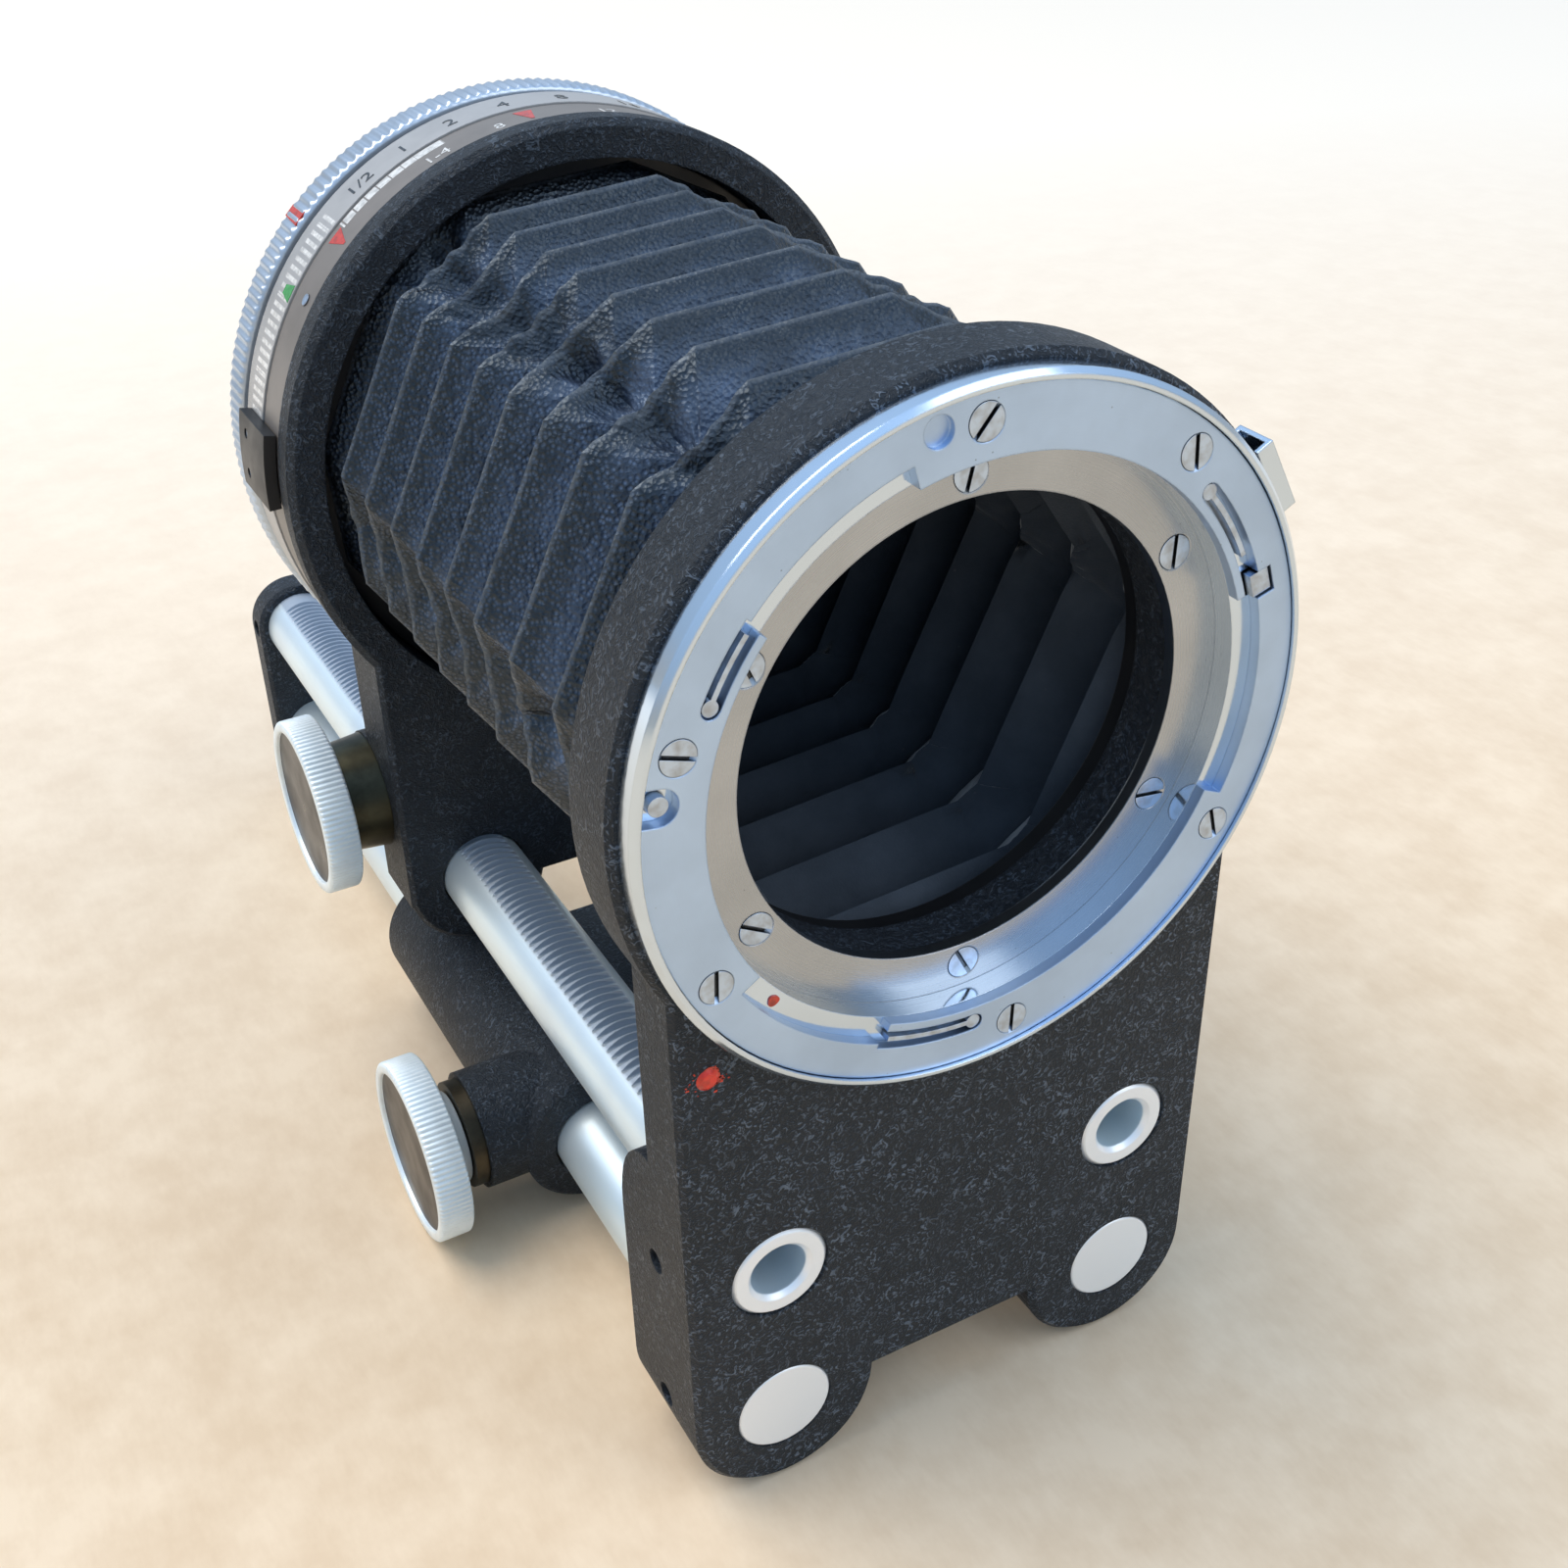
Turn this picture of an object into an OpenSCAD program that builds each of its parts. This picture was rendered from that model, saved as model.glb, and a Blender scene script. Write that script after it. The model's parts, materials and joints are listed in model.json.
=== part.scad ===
// Macro bellows extension unit on four guide rods.
// The optical axis is the Y axis. Y = 0 is the seat of the front mount on the
// front plate, +Y runs to the rear mount, +Z is up and X is across the unit.

/* [Overall] */
// Length of the guide rods, from the front plate face to the end plate back
unit_length = 198.5; // [180:0.5:230]
// Width of the front plate and of the sliding standard
body_width = 74; // [70:0.5:84]
// Height of the optical axis above the surface the unit stands on
axis_height = 100.7; // [96:0.1:112]

/* [Rods] */
// Distance between the left and the right rods
rod_spacing = 50; // [46:0.5:54]
// Diameter of each rod
rod_dia = 13; // [11:0.1:14]
// Bore of the two hollow upper rods
upper_rod_bore = 7.4; // [4:0.1:8]
// Drop from the optical axis to the upper rods
upper_rod_drop = 64.8; // [63:0.1:68]
// Height of the lower rods above the surface the unit stands on
lower_rod_height = 12.5; // [12:0.1:14]
// Radial clearance of a rod in a sliding bushing
rod_clearance = 0.06; // [0.03:0.01:0.1]
// Wall of the rod bushings
bushing_wall = 1.5; // [1:0.1:2]
// Depth of the bushings behind the faces of their castings
bushing_recess = 1.5; // [1:0.1:3]
// Chamfer on the ends of the rods
rod_chamfer = 0.6; // [0.3:0.1:0.9]

/* [Front plate] */
// Thickness of the front plate
plate_thick = 9; // [8:0.1:12]
// Radius of the round head of the front plate
head_radius = 42.2; // [42:0.1:44]
// Length of the rod sockets behind the front plate
socket_length = 9; // [6:0.5:14]
// Radius of the feet around the lower rods
foot_radius = 12.5; // [11.5:0.1:13]
// Chamfer on the edges of the castings
edge_chamfer = 0.7; // [0.3:0.1:1.2]

/* [Front mount] */
// Radius of the bayonet opening
bayonet_radius = 33; // [32:0.1:34]
// Outer radius of the bright rim
rim_radius = 41.2; // [41:0.1:43]
// Outer radius of the bayonet ring
bayonet_outer = 40; // [39:0.1:40.4]
// Height of the rim in front of the plate
rim_height = 3.2; // [2.8:0.1:4]
// Thickness of the bayonet ring
bayonet_thick = 1.5; // [1.2:0.1:1.8]
// Web of the rim under the bayonet ring
rim_web = 1.2; // [1:0.1:1.5]
// Radial depth of the three lug recesses
lug_depth = 2.6; // [2:0.1:3]
// Step in radius from the bayonet opening to the throat opening
throat_step = 5.65; // [5.4:0.05:8]
// Thickness of the throat ring
throat_thick = 1.7; // [1.4:0.1:2.2]
// Depth of the throat ring behind the plate face
throat_depth = 1.7; // [1.5:0.1:2]
// Travel of the bayonet catch
catch_travel = 2.4; // [2:0.1:2.6]

/* [Bellows] */
// Number of pleats
pleats = 9; // [6:1:12]
// Half width of the hexagon across its flats at a ridge
ridge_flat = 37; // [34:0.5:37]
// Half width of the hexagon across its flats at a valley
valley_flat = 30; // [29:0.5:31]
// Cut of the hexagon's corners at a ridge
ridge_chamfer = 9; // [6:0.5:10]
// Cut of the hexagon's corners at a valley
valley_chamfer = 1.5; // [1:0.5:3]
// Turn of the hexagon about the optical axis, in degrees
bellows_turn = 4; // [0:0.5:8]
// Thickness of the pleated skin
skin_thick = 0.8; // [0.6:0.1:1]
// Thickness of the frames at the two ends of the bellows
frame_thick = 2.2; // [2:0.1:3]

/* [Rear standard] */
// Distance from the front mount seat to the face of the rear standard
standard_y = 95.5; // [90:0.5:105]
// Thickness of the foot of the rear standard
foot_thick = 12; // [11:0.5:16]
// Outer radius of the black collar
collar_radius = 45; // [44.9:0.1:46]
// Thickness of the black collar
collar_thick = 4.5; // [4:0.1:6]
// Radius of the recess that takes the bellows
recess_radius = 40; // [40:0.1:40.6]
// Depth of the recess that takes the bellows
recess_depth = 7.5; // [7:0.1:9]
// Height of the foot's underside below the upper rods
foot_drop = 11.6; // [11:0.1:11.6]

/* [Focusing mount] */
// Bore of the rear mount
rear_bore = 60; // [56:0.5:61]
// Outer radius of the sliding barrel
barrel_radius = 37; // [36:0.1:37]
// Radial clearance of the barrel and of the turning rings
ring_clearance = 0.06; // [0.03:0.01:0.1]
// Length of the fixed index ring
index_length = 7.8; // [6:0.1:8]
// Length of the distance ring
distance_length = 7.3; // [7:0.1:8]
// Outer radius of the index ring
index_radius = 44.6; // [44:0.1:44.8]
// Outer radius of the distance ring
distance_radius = 44.8; // [44:0.1:44.9]
// Outer radius of the knurled locking ring
lock_ring_radius = 45.4; // [45:0.1:46]
// Length of the knurled locking ring
lock_ring_length = 5.9; // [5:0.1:7]

/* [Drive and clamps] */
// Radius of the two large knobs
knob_radius = 13.6; // [12:0.1:13.6]
// Width of the two large knobs
knob_width = 5.1; // [4:0.1:6]
// Number of flutes round a large knob
knob_flutes = 96; // [60:1:120]
// Module of the rack and of the pinion
gear_module = 0.5; // [0.5:0.1:0.5]
// Teeth of the pinion
pinion_teeth = 26; // [24:1:26]
// Radius of the pinion shaft
shaft_radius = 2.5; // [2:0.1:2.8]
// Radius of the right-hand locking knob
lock_knob_radius = 9; // [7:0.5:10]

/* [Carriage] */
// Distance from the front mount seat to the front of the carriage
carriage_y = 56.5; // [40:0.5:60]
// Length of the carriage
carriage_length = 61.5; // [50:0.5:70]
// Radius of the carriage sleeves
sleeve_radius = 11.3; // [10.5:0.1:11.3]
// Radius of the tripod thread, a quarter inch
tripod_radius = 3.175; // [3.175:0.001:3.2]
// Depth of the tripod thread
tripod_depth = 8; // [6:0.5:9]

/* [Hidden] */
$fn = 96;

eps = 0.05;
fit = 0.02;
half_w = body_width / 2;
throat_radius = bayonet_radius - throat_step;
floor_z = -axis_height;
rod_x = rod_spacing / 2;
rod_r = rod_dia / 2;
upper_z = -upper_rod_drop;
lower_z = floor_z + lower_rod_height;
bushing_r = rod_r + rod_clearance + bushing_wall;
running_r = rod_r + rod_clearance;
SIDES = [-1, 1];

// Front mount, from the front towards the back
ring_face_y = -(rim_web + bayonet_thick);
seat_y = throat_depth + throat_thick;
hub_radius = bayonet_radius + 1.2;
web_bore = throat_radius + 0.45;
screw_head = 2;
screw_slot = 0.5;
screw_r = 1;
face_screw_r = (bayonet_radius + bayonet_outer) / 2 + 0.5;
face_screw_angles = [93, 50, -31, -83, -152, 163];
throat_screw_r = throat_radius + 2.6;
throat_screw_angles = [91, 30, -31, -89, -149, 149];
// Direction in which each screw's slot happened to stop
face_slot_angles = [50, 93, 104, 88, 88, -19];
throat_slot_angles = [76, 88, -8, 117, -30, 113];
head_gap = 0.12;
// Each lug recess and the spring slot that follows it: start, end, slot end
LUGS = [[106, 141, 155], [-25, 17, 42], [-147, -111, -91]];
slot_width = 2.2;
leaf_thick = 0.6;
pin_angle = 171;
dimple_angle = 101;
bead_x = -33;
bead_z = -31.5;

// Bayonet catch
catch_angle = 17.5;
lever_angle = 28.5;
catch_r0 = bayonet_radius + 2.2;
catch_r1 = bayonet_radius + 4.6;
catch_half = 1.4;
bar_y0 = 2.6;
bar_thick = 1.6;
pocket_end = bar_y0 + bar_thick + catch_travel + 0.6;
lever_out = 2.2;
lever_half = 4.6;
lever_wall = 0.6;
catch_clear = 0.25;

// Bellows
bellows_y0 = plate_thick + frame_thick;
bellows_y1 = standard_y + recess_depth - frame_thick;
front_frame_bore = throat_radius + 0.65;
rear_frame_bore = rear_bore / 2 + 1;
frame_radius = recess_radius - 0.4;

// Rear standard and its focusing mount
recess_y = standard_y + recess_depth;
collar_y = standard_y + collar_thick;
neck_radius = index_radius - 2.6;
neck_y = collar_y + index_length + 0.2;
tube_radius = barrel_radius + 2.5;
tube_y = neck_y + distance_length - 1.3;
distance_y = neck_y + 0.2;
distance_end = distance_y + distance_length;
keeper_radius = tube_radius + 1.5;
keeper_thick = 1;
barrel_y0 = recess_y + 0.2;
shoulder_y = distance_end + 0.3;
shoulder_radius = 43.5;
shoulder_thick = 1.7;
lock_ring_y = shoulder_y + shoulder_thick + 0.2;
flange_y = lock_ring_y + lock_ring_length;
flange_radius = 41;
rear_r = rear_bore / 2;
key_width = 3;
key_length = 2;
key_angles = [30, 150, 270];
foot_y = standard_y + foot_thick;
lobe_radius = foot_drop - 0.6;
lobe_z = upper_z - 0.6;
tab_angle = 175;
tab_half = 6.6;
tab_back = 1.9;
tab_screw_turn = 3.5;
end_thick = 5.6;
end_corner = 8.1;

// Rack and pinion
pitch_r = gear_module * pinion_teeth / 2;
rack_pitch = PI * gear_module;
shaft_y = standard_y + 12.7;
shaft_z = upper_z + rod_r - gear_module + pitch_r;
pinion_width = 6;
pinion_x0 = -rod_x - pinion_width / 2;
pinion_x1 = -rod_x + pinion_width / 2;
pocket_radius = pitch_r + gear_module + 0.6;
boss_radius = pocket_radius + 1.6;
boss_x1 = -12;
knob_gap = 6.3;
knob_x = half_w + knob_gap;
cap_thick = 1.4;
cap_radius = knob_radius - 1.7;

// Right-hand lock of the standard
lock_y = standard_y + 6;
lock_knob_x = half_w + 4;
lock_knob_width = 5;
lock_screw_r = 2;

// Carriage and its clamp
carriage_end = carriage_y + carriage_length;
clamp_boss = 8.8;
clamp_y = carriage_y + clamp_boss + 0.2;
clamp_z = floor_z + knob_radius + 0.3;
clamp_screw_r = 2.5;
clamp_knob_x = half_w + 9;
block_half = 14;
block_y0 = carriage_y + 14;
block_y1 = carriage_end - 8;
tripod_y = (block_y0 + block_y1) / 2;
tripod_wall = 1.6;
carriage_floor = floor_z + 0.3;

// A flat shape drawn in X and Z, from Y = y0 to Y = y1
module prism(y0, y1) {
    translate([0, y1, 0])
        rotate([90, 0, 0])
            linear_extrude(y1 - y0)
                children();
}

// A flat shape drawn in Y and Z, from X = x0 to X = x1
module prism_x(x0, x1) {
    translate([x0, 0, 0])
        rotate([90, 0, 90])
            linear_extrude(x1 - x0)
                children();
}

// A round bar along Y, with an optional chamfer c0 at its front end and c1 at its back end
module bar(r, y0, y1, x = 0, z = 0, c0 = 0, c1 = 0) {
    translate([x, y0, z])
        rotate([-90, 0, 0])
            if (c0 + c1 > 0)
                rotate_extrude()
                    polygon(bar_profile(r, y1 - y0, c0, c1));
            else
                cylinder(r = r, h = y1 - y0);
}

function bar_profile(r, h, c0, c1) = concat(
    [[0, 0], [r - c0, 0]],
    c0 > 0 ? [[r, c0]] : [],
    c1 > 0 ? [[r, h - c1]] : [],
    [[r - c1, h], [0, h]]
);

// A slab with a chamfer round its front face, except along its top
module slab(half, z0, z1, y0, y1, c) {
    intersection() {
        translate([0, 0, z0])
            linear_extrude(z1 - z0)
                polygon([
                    [-half + c, y0],
                    [half - c, y0],
                    [half, y0 + c],
                    [half, y1],
                    [-half, y1],
                    [-half, y0 + c]
                ]);
        prism_x(-half, half)
            polygon([[y0 + c, z0], [y1, z0], [y1, z1], [y0, z1], [y0, z0 + c]]);
    }
}

// A round bar along X
module bar_x(r, x0, x1, y = 0, z = 0) {
    translate([x0, y, z])
        rotate([0, 90, 0])
            cylinder(r = r, h = x1 - x0);
}

// A ring along Y, centred on the optical axis
module ring(r_out, r_in, y0, y1) {
    difference() {
        bar(r_out, y0, y1);
        bar(r_in, y0 - eps, y1 + eps);
    }
}

// Children placed at an angle round the optical axis, their X pointing outwards
module around(angle, r = 0) {
    rotate([0, -angle, 0])
        translate([r, 0, 0])
            children();
}

// A ring sector along Y, for a span under 180 degrees
module sector(r_in, r_out, a0, a1, y0, y1) {
    far = r_out * 2;
    mid = (a0 + a1) / 2;
    intersection() {
        ring(r_out, r_in, y0, y1);
        prism(y0 - eps, y1 + eps)
            polygon([
                [0, 0],
                far * [cos(a0), sin(a0)],
                2 * far * [cos(mid), sin(mid)],
                far * [cos(a1), sin(a1)]
            ]);
    }
}

// A countersunk slotted screw, its head flush with y and its shank towards +Y
module slotted_screw(y, length, slot_turn = 0) {
    difference() {
        union() {
            translate([0, y, 0])
                rotate([-90, 0, 0])
                    cylinder(r1 = screw_head, r2 = screw_r, h = screw_head - screw_r);
            bar(screw_r, y + 0.5, y + length);
        }
        rotate([0, slot_turn, 0])
            translate([-screw_head, y - eps, -screw_slot / 2])
                cube([screw_head * 2, screw_slot + eps, screw_slot]);
    }
}

// The room that a countersunk screw needs, with a fine gap round its head
module screw_seat(y, length) {
    translate([0, y - eps, 0])
        rotate([-90, 0, 0])
            cylinder(r1 = screw_head + head_gap + eps, r2 = screw_r + fit, h = screw_head - screw_r + eps);
    bar(screw_r + fit, y, y + length);
}

// A fluted outline
module fluted(r, depth, count) {
    polygon([
        for (i = [0 : 2 * count - 1])
            (r - (i % 2) * depth) * [cos(180 * i / count), sin(180 * i / count)]
    ]);
}

// ---- Front standard ----

module plate_outline() {
    foot_x = half_w - foot_radius;
    circle(head_radius);
    translate([-half_w, lower_z])
        square([body_width, -lower_z]);
    for (s = SIDES)
        translate([s * foot_x, lower_z])
            circle(foot_radius);
}

// Two sockets behind the plate, each round a left or a right pair of rods
module rod_sockets() {
    top = upper_z + 16;
    socket_rise = 14;
    back = plate_thick + socket_length;
    intersection() {
        prism(plate_thick - eps, back)
            intersection() {
                plate_outline();
                for (s = SIDES)
                    translate([s * (half_w - foot_radius) - foot_radius, floor_z])
                        square([2 * foot_radius, top - floor_z]);
            }
        prism_x(-half_w - 1, half_w + 1)
            polygon([
                [0, floor_z],
                [0, top],
                each [for (a = [0 : 10 : 90])
                    [plate_thick + socket_length * sin(a), top - socket_rise * (1 - cos(a))]],
                [back, floor_z]
            ]);
    }
}

module front_plate() {
    color([0.07, 0.07, 0.08])
        difference() {
            union() {
                bar(head_radius, 0, plate_thick, c0 = edge_chamfer);
                slab(half_w, lower_z, 0, 0, plate_thick, edge_chamfer);
                for (s = SIDES)
                    bar(foot_radius, 0, plate_thick, s * (half_w - foot_radius), lower_z, edge_chamfer);
                rod_sockets();
            }
            bar(hub_radius + 0.1, -eps, seat_y);
            bar(web_bore, -eps, plate_thick + eps);
            for (s = SIDES) {
                bar(rod_r + fit, -eps, plate_thick + socket_length + eps, s * rod_x, upper_z);
                bar(rod_r + fit, -eps, plate_thick + socket_length + eps, s * rod_x, lower_z);
            }
            for (s = SIDES, z = [upper_z, lower_z])
                bar_x(screw_r + fit + 0.6, s > 0 ? rod_x : -half_w - 1, s > 0 ? half_w + 1 : -rod_x,
                    plate_thick, z);
            for (a = face_screw_angles)
                around(a, face_screw_r) bar(screw_r + fit, -eps, 3.6);
            for (a = throat_screw_angles)
                around(a, throat_screw_r) bar(screw_r + fit, -eps, plate_thick + eps);
            around(pin_angle, bayonet_outer - 1.9) bar(1.1 + fit, -eps, 3.5);
            sector(catch_r0 - 0.3, bayonet_outer + 0.2, catch_angle - 6, lever_angle + 6, -eps, pocket_end);
            around(lever_angle, bayonet_outer - 2)
                translate([0, bar_y0 - catch_clear, -2.4])
                    cube([10, pocket_end - bar_y0 + catch_clear, 4.8]);
            translate([bead_x, -eps, bead_z])
                rotate([-90, 0, 0])
                    cylinder(r = 1 + fit, h = 1.5);
        }
}

module mount_rim() {
    color([0.8, 0.8, 0.78])
        difference() {
            union() {
                ring(rim_radius, bayonet_outer + 0.1, 0.6 - rim_height, 0);
                translate([0, -rim_height, 0])
                    rotate([-90, 0, 0])
                        difference() {
                            cylinder(r1 = rim_radius - 0.6, r2 = rim_radius, h = 0.6);
                            translate([0, 0, -eps]) cylinder(r = bayonet_outer + 0.1, h = 1);
                        }
                ring(rim_radius, bayonet_radius, -rim_web, 0);
                ring(hub_radius, bayonet_radius, -eps, throat_depth);
            }
            for (a = face_screw_angles)
                around(a, face_screw_r) bar(screw_r + fit, -rim_height, eps);
            around(pin_angle, bayonet_outer - 1.9) bar(1.1 + fit, -rim_height, eps);
            around(catch_angle)
                translate([catch_r0 - catch_clear, -rim_web - eps, -catch_half - catch_clear])
                    cube([catch_r1 - catch_r0 + 2 * catch_clear, rim_web + 2 * eps, 2 * (catch_half + catch_clear)]);
        }
}

// The slot behind each lug recess
module spring_slot(lug) {
    sector(bayonet_radius + 1, bayonet_radius + 1 + slot_width, lug[1] - 1, lug[2], ring_face_y - eps, eps);
    around(lug[2] - 0.1, bayonet_radius + 1 + slot_width / 2) bar(slot_width / 2 - 0.04, ring_face_y - 2 * eps, 2 * eps);
}

module bayonet_ring() {
    color([0.74, 0.75, 0.76])
        difference() {
            ring(bayonet_outer, bayonet_radius, ring_face_y, -rim_web);
            for (lug = LUGS) {
                sector(bayonet_radius - 1, bayonet_radius + lug_depth, lug[0], lug[1], ring_face_y - eps, 0);
                spring_slot(lug);
            }
            for (a = face_screw_angles)
                around(a, face_screw_r) screw_seat(ring_face_y, 4);
            around(pin_angle, bayonet_outer - 1.9) bar(2.1, ring_face_y - eps, 0);
            around(pin_angle)
                translate([bayonet_outer - 1.9, ring_face_y - eps, -2.1])
                    cube([4, 4, 4.2]);
            around(dimple_angle, face_screw_r + 0.7) bar(1.7, ring_face_y - eps, ring_face_y + 0.8);
            around(catch_angle)
                translate([catch_r0 - catch_clear, ring_face_y - eps, -catch_half - catch_clear])
                    cube([catch_r1 - catch_r0 + 2 * catch_clear, 4, 2 * (catch_half + catch_clear)]);
        }
}

// A leaf lies in each spring slot, with a round eye at the slot's far end
module bayonet_springs() {
    leaf_r = bayonet_radius + 1 + slot_width / 2;
    color([0.78, 0.78, 0.8])
        for (lug = LUGS) {
            a0 = lug == LUGS[1] ? lug[1] + 8 : lug[1] + 1;
            sector(leaf_r - leaf_thick / 2, leaf_r + leaf_thick / 2, a0, lug[2] - 0.2,
                ring_face_y + 0.2, -rim_web);
            around(lug[2] - 0.2, leaf_r) bar(slot_width / 2 - 0.2, ring_face_y + 0.2, -rim_web);
        }
}

module face_screws() {
    color([0.7, 0.7, 0.7])
        for (i = [0 : len(face_screw_angles) - 1])
            around(face_screw_angles[i], face_screw_r)
                slotted_screw(ring_face_y, 5.8, face_screw_angles[i] - face_slot_angles[i]);
}

module throat_ring() {
    color([0.68, 0.66, 0.6])
        difference() {
            ring(hub_radius, throat_radius, throat_depth, seat_y);
            for (a = throat_screw_angles)
                around(a, throat_screw_r) screw_seat(throat_depth, 4);
        }
}

module throat_screws() {
    color([0.7, 0.7, 0.7])
        for (i = [0 : len(throat_screw_angles) - 1])
            around(throat_screw_angles[i], throat_screw_r)
                slotted_screw(
                    throat_depth,
                    bellows_y0 - throat_depth - 0.6,
                    throat_screw_angles[i] - throat_slot_angles[i]
                );
}

module index_pin() {
    color([0.72, 0.72, 0.7])
        around(pin_angle, bayonet_outer - 1.9) bar(1.1, ring_face_y + 0.3, 3.3);
}

module index_bead() {
    color([0.85, 0.12, 0.05])
        translate([bead_x, 0, bead_z])
            rotate([-90, 0, 0])
                union() {
                    translate([0, 0, -0.35]) cylinder(r1 = 0.9, r2 = 1.4, h = 0.35);
                    cylinder(r = 1, h = 1.4);
                }
}

// Grub screws that hold the rods in the front plate and in the end plate
module socket_screws() {
    grub_r = screw_r + 0.6;
    grub = 3.2;
    end_y = unit_length - end_thick / 2;
    end_half = rod_x + end_corner;
    color([0.25, 0.25, 0.27])
        for (s = SIDES, z = [upper_z, lower_z], place = [[plate_thick, half_w], [end_y, end_half]])
            difference() {
                x0 = rod_r + rod_x;
                x1 = min(x0 + grub, place[1] - 0.6);
                bar_x(grub_r, s > 0 ? x0 : -x1, s > 0 ? x1 : -x0, place[0], z);
                translate([s > 0 ? x1 - 0.5 : -x1 - eps, place[0] - 2, z - 0.2])
                    cube([0.5 + eps, 4, 0.4]);
            }
}

// ---- Rods and end plate ----

// The comb that cuts the rack into the top of the left upper rod
module rack_comb() {
    top = upper_z + rod_r;
    root = top - 2.25 * gear_module;
    half_gap = rack_pitch / 4 + 0.05;
    slope = gear_module * tan(20);
    y0 = plate_thick + socket_length + 1;
    y1 = unit_length - 10;
    first = ceil((y0 - shaft_y) / rack_pitch);
    last = floor((y1 - shaft_y) / rack_pitch);
    prism_x(-rod_x - rod_r, -rod_x + rod_r)
        for (i = [first : last])
            translate([shaft_y + i * rack_pitch, 0])
                polygon([
                    [-half_gap - slope - 0.1, top + 0.2],
                    [-half_gap + slope, root],
                    [half_gap - slope, root],
                    [half_gap + slope + 0.1, top + 0.2]
                ]);
}

// An upper rod, its bore opened at the front end
module hollow_rod(x) {
    mouth = rod_chamfer + eps;
    difference() {
        bar(rod_r, 0, unit_length, x, upper_z, rod_chamfer, rod_chamfer);
        bar(upper_rod_bore / 2, -eps, unit_length + eps, x, upper_z);
        translate([x, -eps, upper_z])
            rotate([-90, 0, 0])
                cylinder(r1 = upper_rod_bore / 2 + mouth, r2 = upper_rod_bore / 2, h = mouth);
    }
}

module rack_rod() {
    color([0.78, 0.79, 0.8])
        difference() {
            hollow_rod(-rod_x);
            rack_comb();
        }
}

module upper_rod() {
    color([0.78, 0.79, 0.8])
        hollow_rod(rod_x);
}

module lower_rods() {
    color([0.78, 0.79, 0.8])
        for (s = SIDES)
            bar(rod_r, 0, unit_length, s * rod_x, lower_z, rod_chamfer / 2, rod_chamfer / 2);
}

module end_plate() {
    thick = end_thick;
    corner = end_corner;
    half = rod_x + corner;
    y0 = unit_length - thick;
    top = upper_z + corner;
    color([0.07, 0.07, 0.08])
        difference() {
            union() {
                slab(half, floor_z + corner, upper_z, y0, unit_length, edge_chamfer);
                prism(y0, unit_length)
                    translate([-rod_x, floor_z])
                        square([2 * rod_x, top - floor_z]);
                for (s = SIDES, z = [upper_z, floor_z + corner])
                    bar(corner, y0, unit_length, s * rod_x, z, edge_chamfer);
            }
            for (s = SIDES, z = [upper_z, lower_z])
                bar(rod_r + fit, y0 - eps, unit_length + eps, s * rod_x, z);
            for (s = SIDES, z = [upper_z, lower_z])
                bar_x(screw_r + fit + 0.6, s > 0 ? rod_x : -half - 1, s > 0 ? half + 1 : -rod_x,
                    unit_length - thick / 2, z);
        }
}

// ---- Bellows ----

// A hexagon with a flat top and cut corners, as twelve points in X and Z
function hex_ring(flat, cut) = [
    for (k = [0 : 5], side = [-1, 1])
        let (r = flat / cos(30), a = 60 * k + bellows_turn, b = a + side * 60, corner = r * [cos(a), sin(a)])
            corner + (r * [cos(b), sin(b)] - corner) * cut / r
];

// The rings of the pleated skin, alternately a ridge and a valley
function pleat_rings(inset) = [
    for (i = [0 : 2 * pleats])
        let (
            flat = (i % 2 == 0 ? ridge_flat : valley_flat) - inset,
            cut = i % 2 == 0 ? ridge_chamfer : valley_chamfer,
            y = bellows_y0 + (bellows_y1 - bellows_y0) * i / (2 * pleats)
        )
            [for (p = hex_ring(flat, cut)) [p[0], y, p[1]]]
];

function flat_list(rings) = [for (r = rings) for (p = r) p];

module bellows() {
    n = 12;
    m = 2 * pleats + 1;
    outer = flat_list(pleat_rings(0));
    inner = flat_list(pleat_rings(skin_thick));
    o = n * m;
    walls = [
        for (i = [0 : m - 2], j = [0 : n - 1])
            let (a = i * n + j, b = i * n + (j + 1) % n)
                each [
                    [a, b, b + n], [a, b + n, a + n],
                    [o + a, o + b + n, o + b], [o + a, o + a + n, o + b + n]
                ]
    ];
    ends = [
        for (j = [0 : n - 1])
            let (k = (j + 1) % n, t = (m - 1) * n)
                each [
                    [j, o + j, o + k], [j, o + k, k],
                    [t + j, t + k, o + t + k], [t + j, o + t + k, o + t + j]
                ]
    ];
    color([0.1, 0.11, 0.13])
        polyhedron(points = concat(outer, inner), faces = concat(walls, ends), convexity = 10);
}

module bellows_front_frame() {
    color([0.08, 0.08, 0.09])
        difference() {
            ring(frame_radius, front_frame_bore, plate_thick, bellows_y0);
            for (a = throat_screw_angles)
                around(a, throat_screw_r) bar(screw_r + fit, plate_thick - eps, bellows_y0 + eps);
        }
}

module bellows_rear_frame() {
    color([0.08, 0.08, 0.09])
        difference() {
            ring(frame_radius, rear_frame_bore, bellows_y1, recess_y);
            for (a = [45 : 90 : 315])
                around(a, recess_radius - 1.5) bar(0.7 + fit, bellows_y1 - eps, recess_y + eps);
        }
}

module rear_frame_screws() {
    color([0.6, 0.6, 0.6])
        for (a = [45 : 90 : 315])
            around(a, recess_radius - 1.5) bar(0.7, bellows_y1 + 0.2, recess_y + 2.5);
}

// ---- Bayonet catch ----

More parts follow.
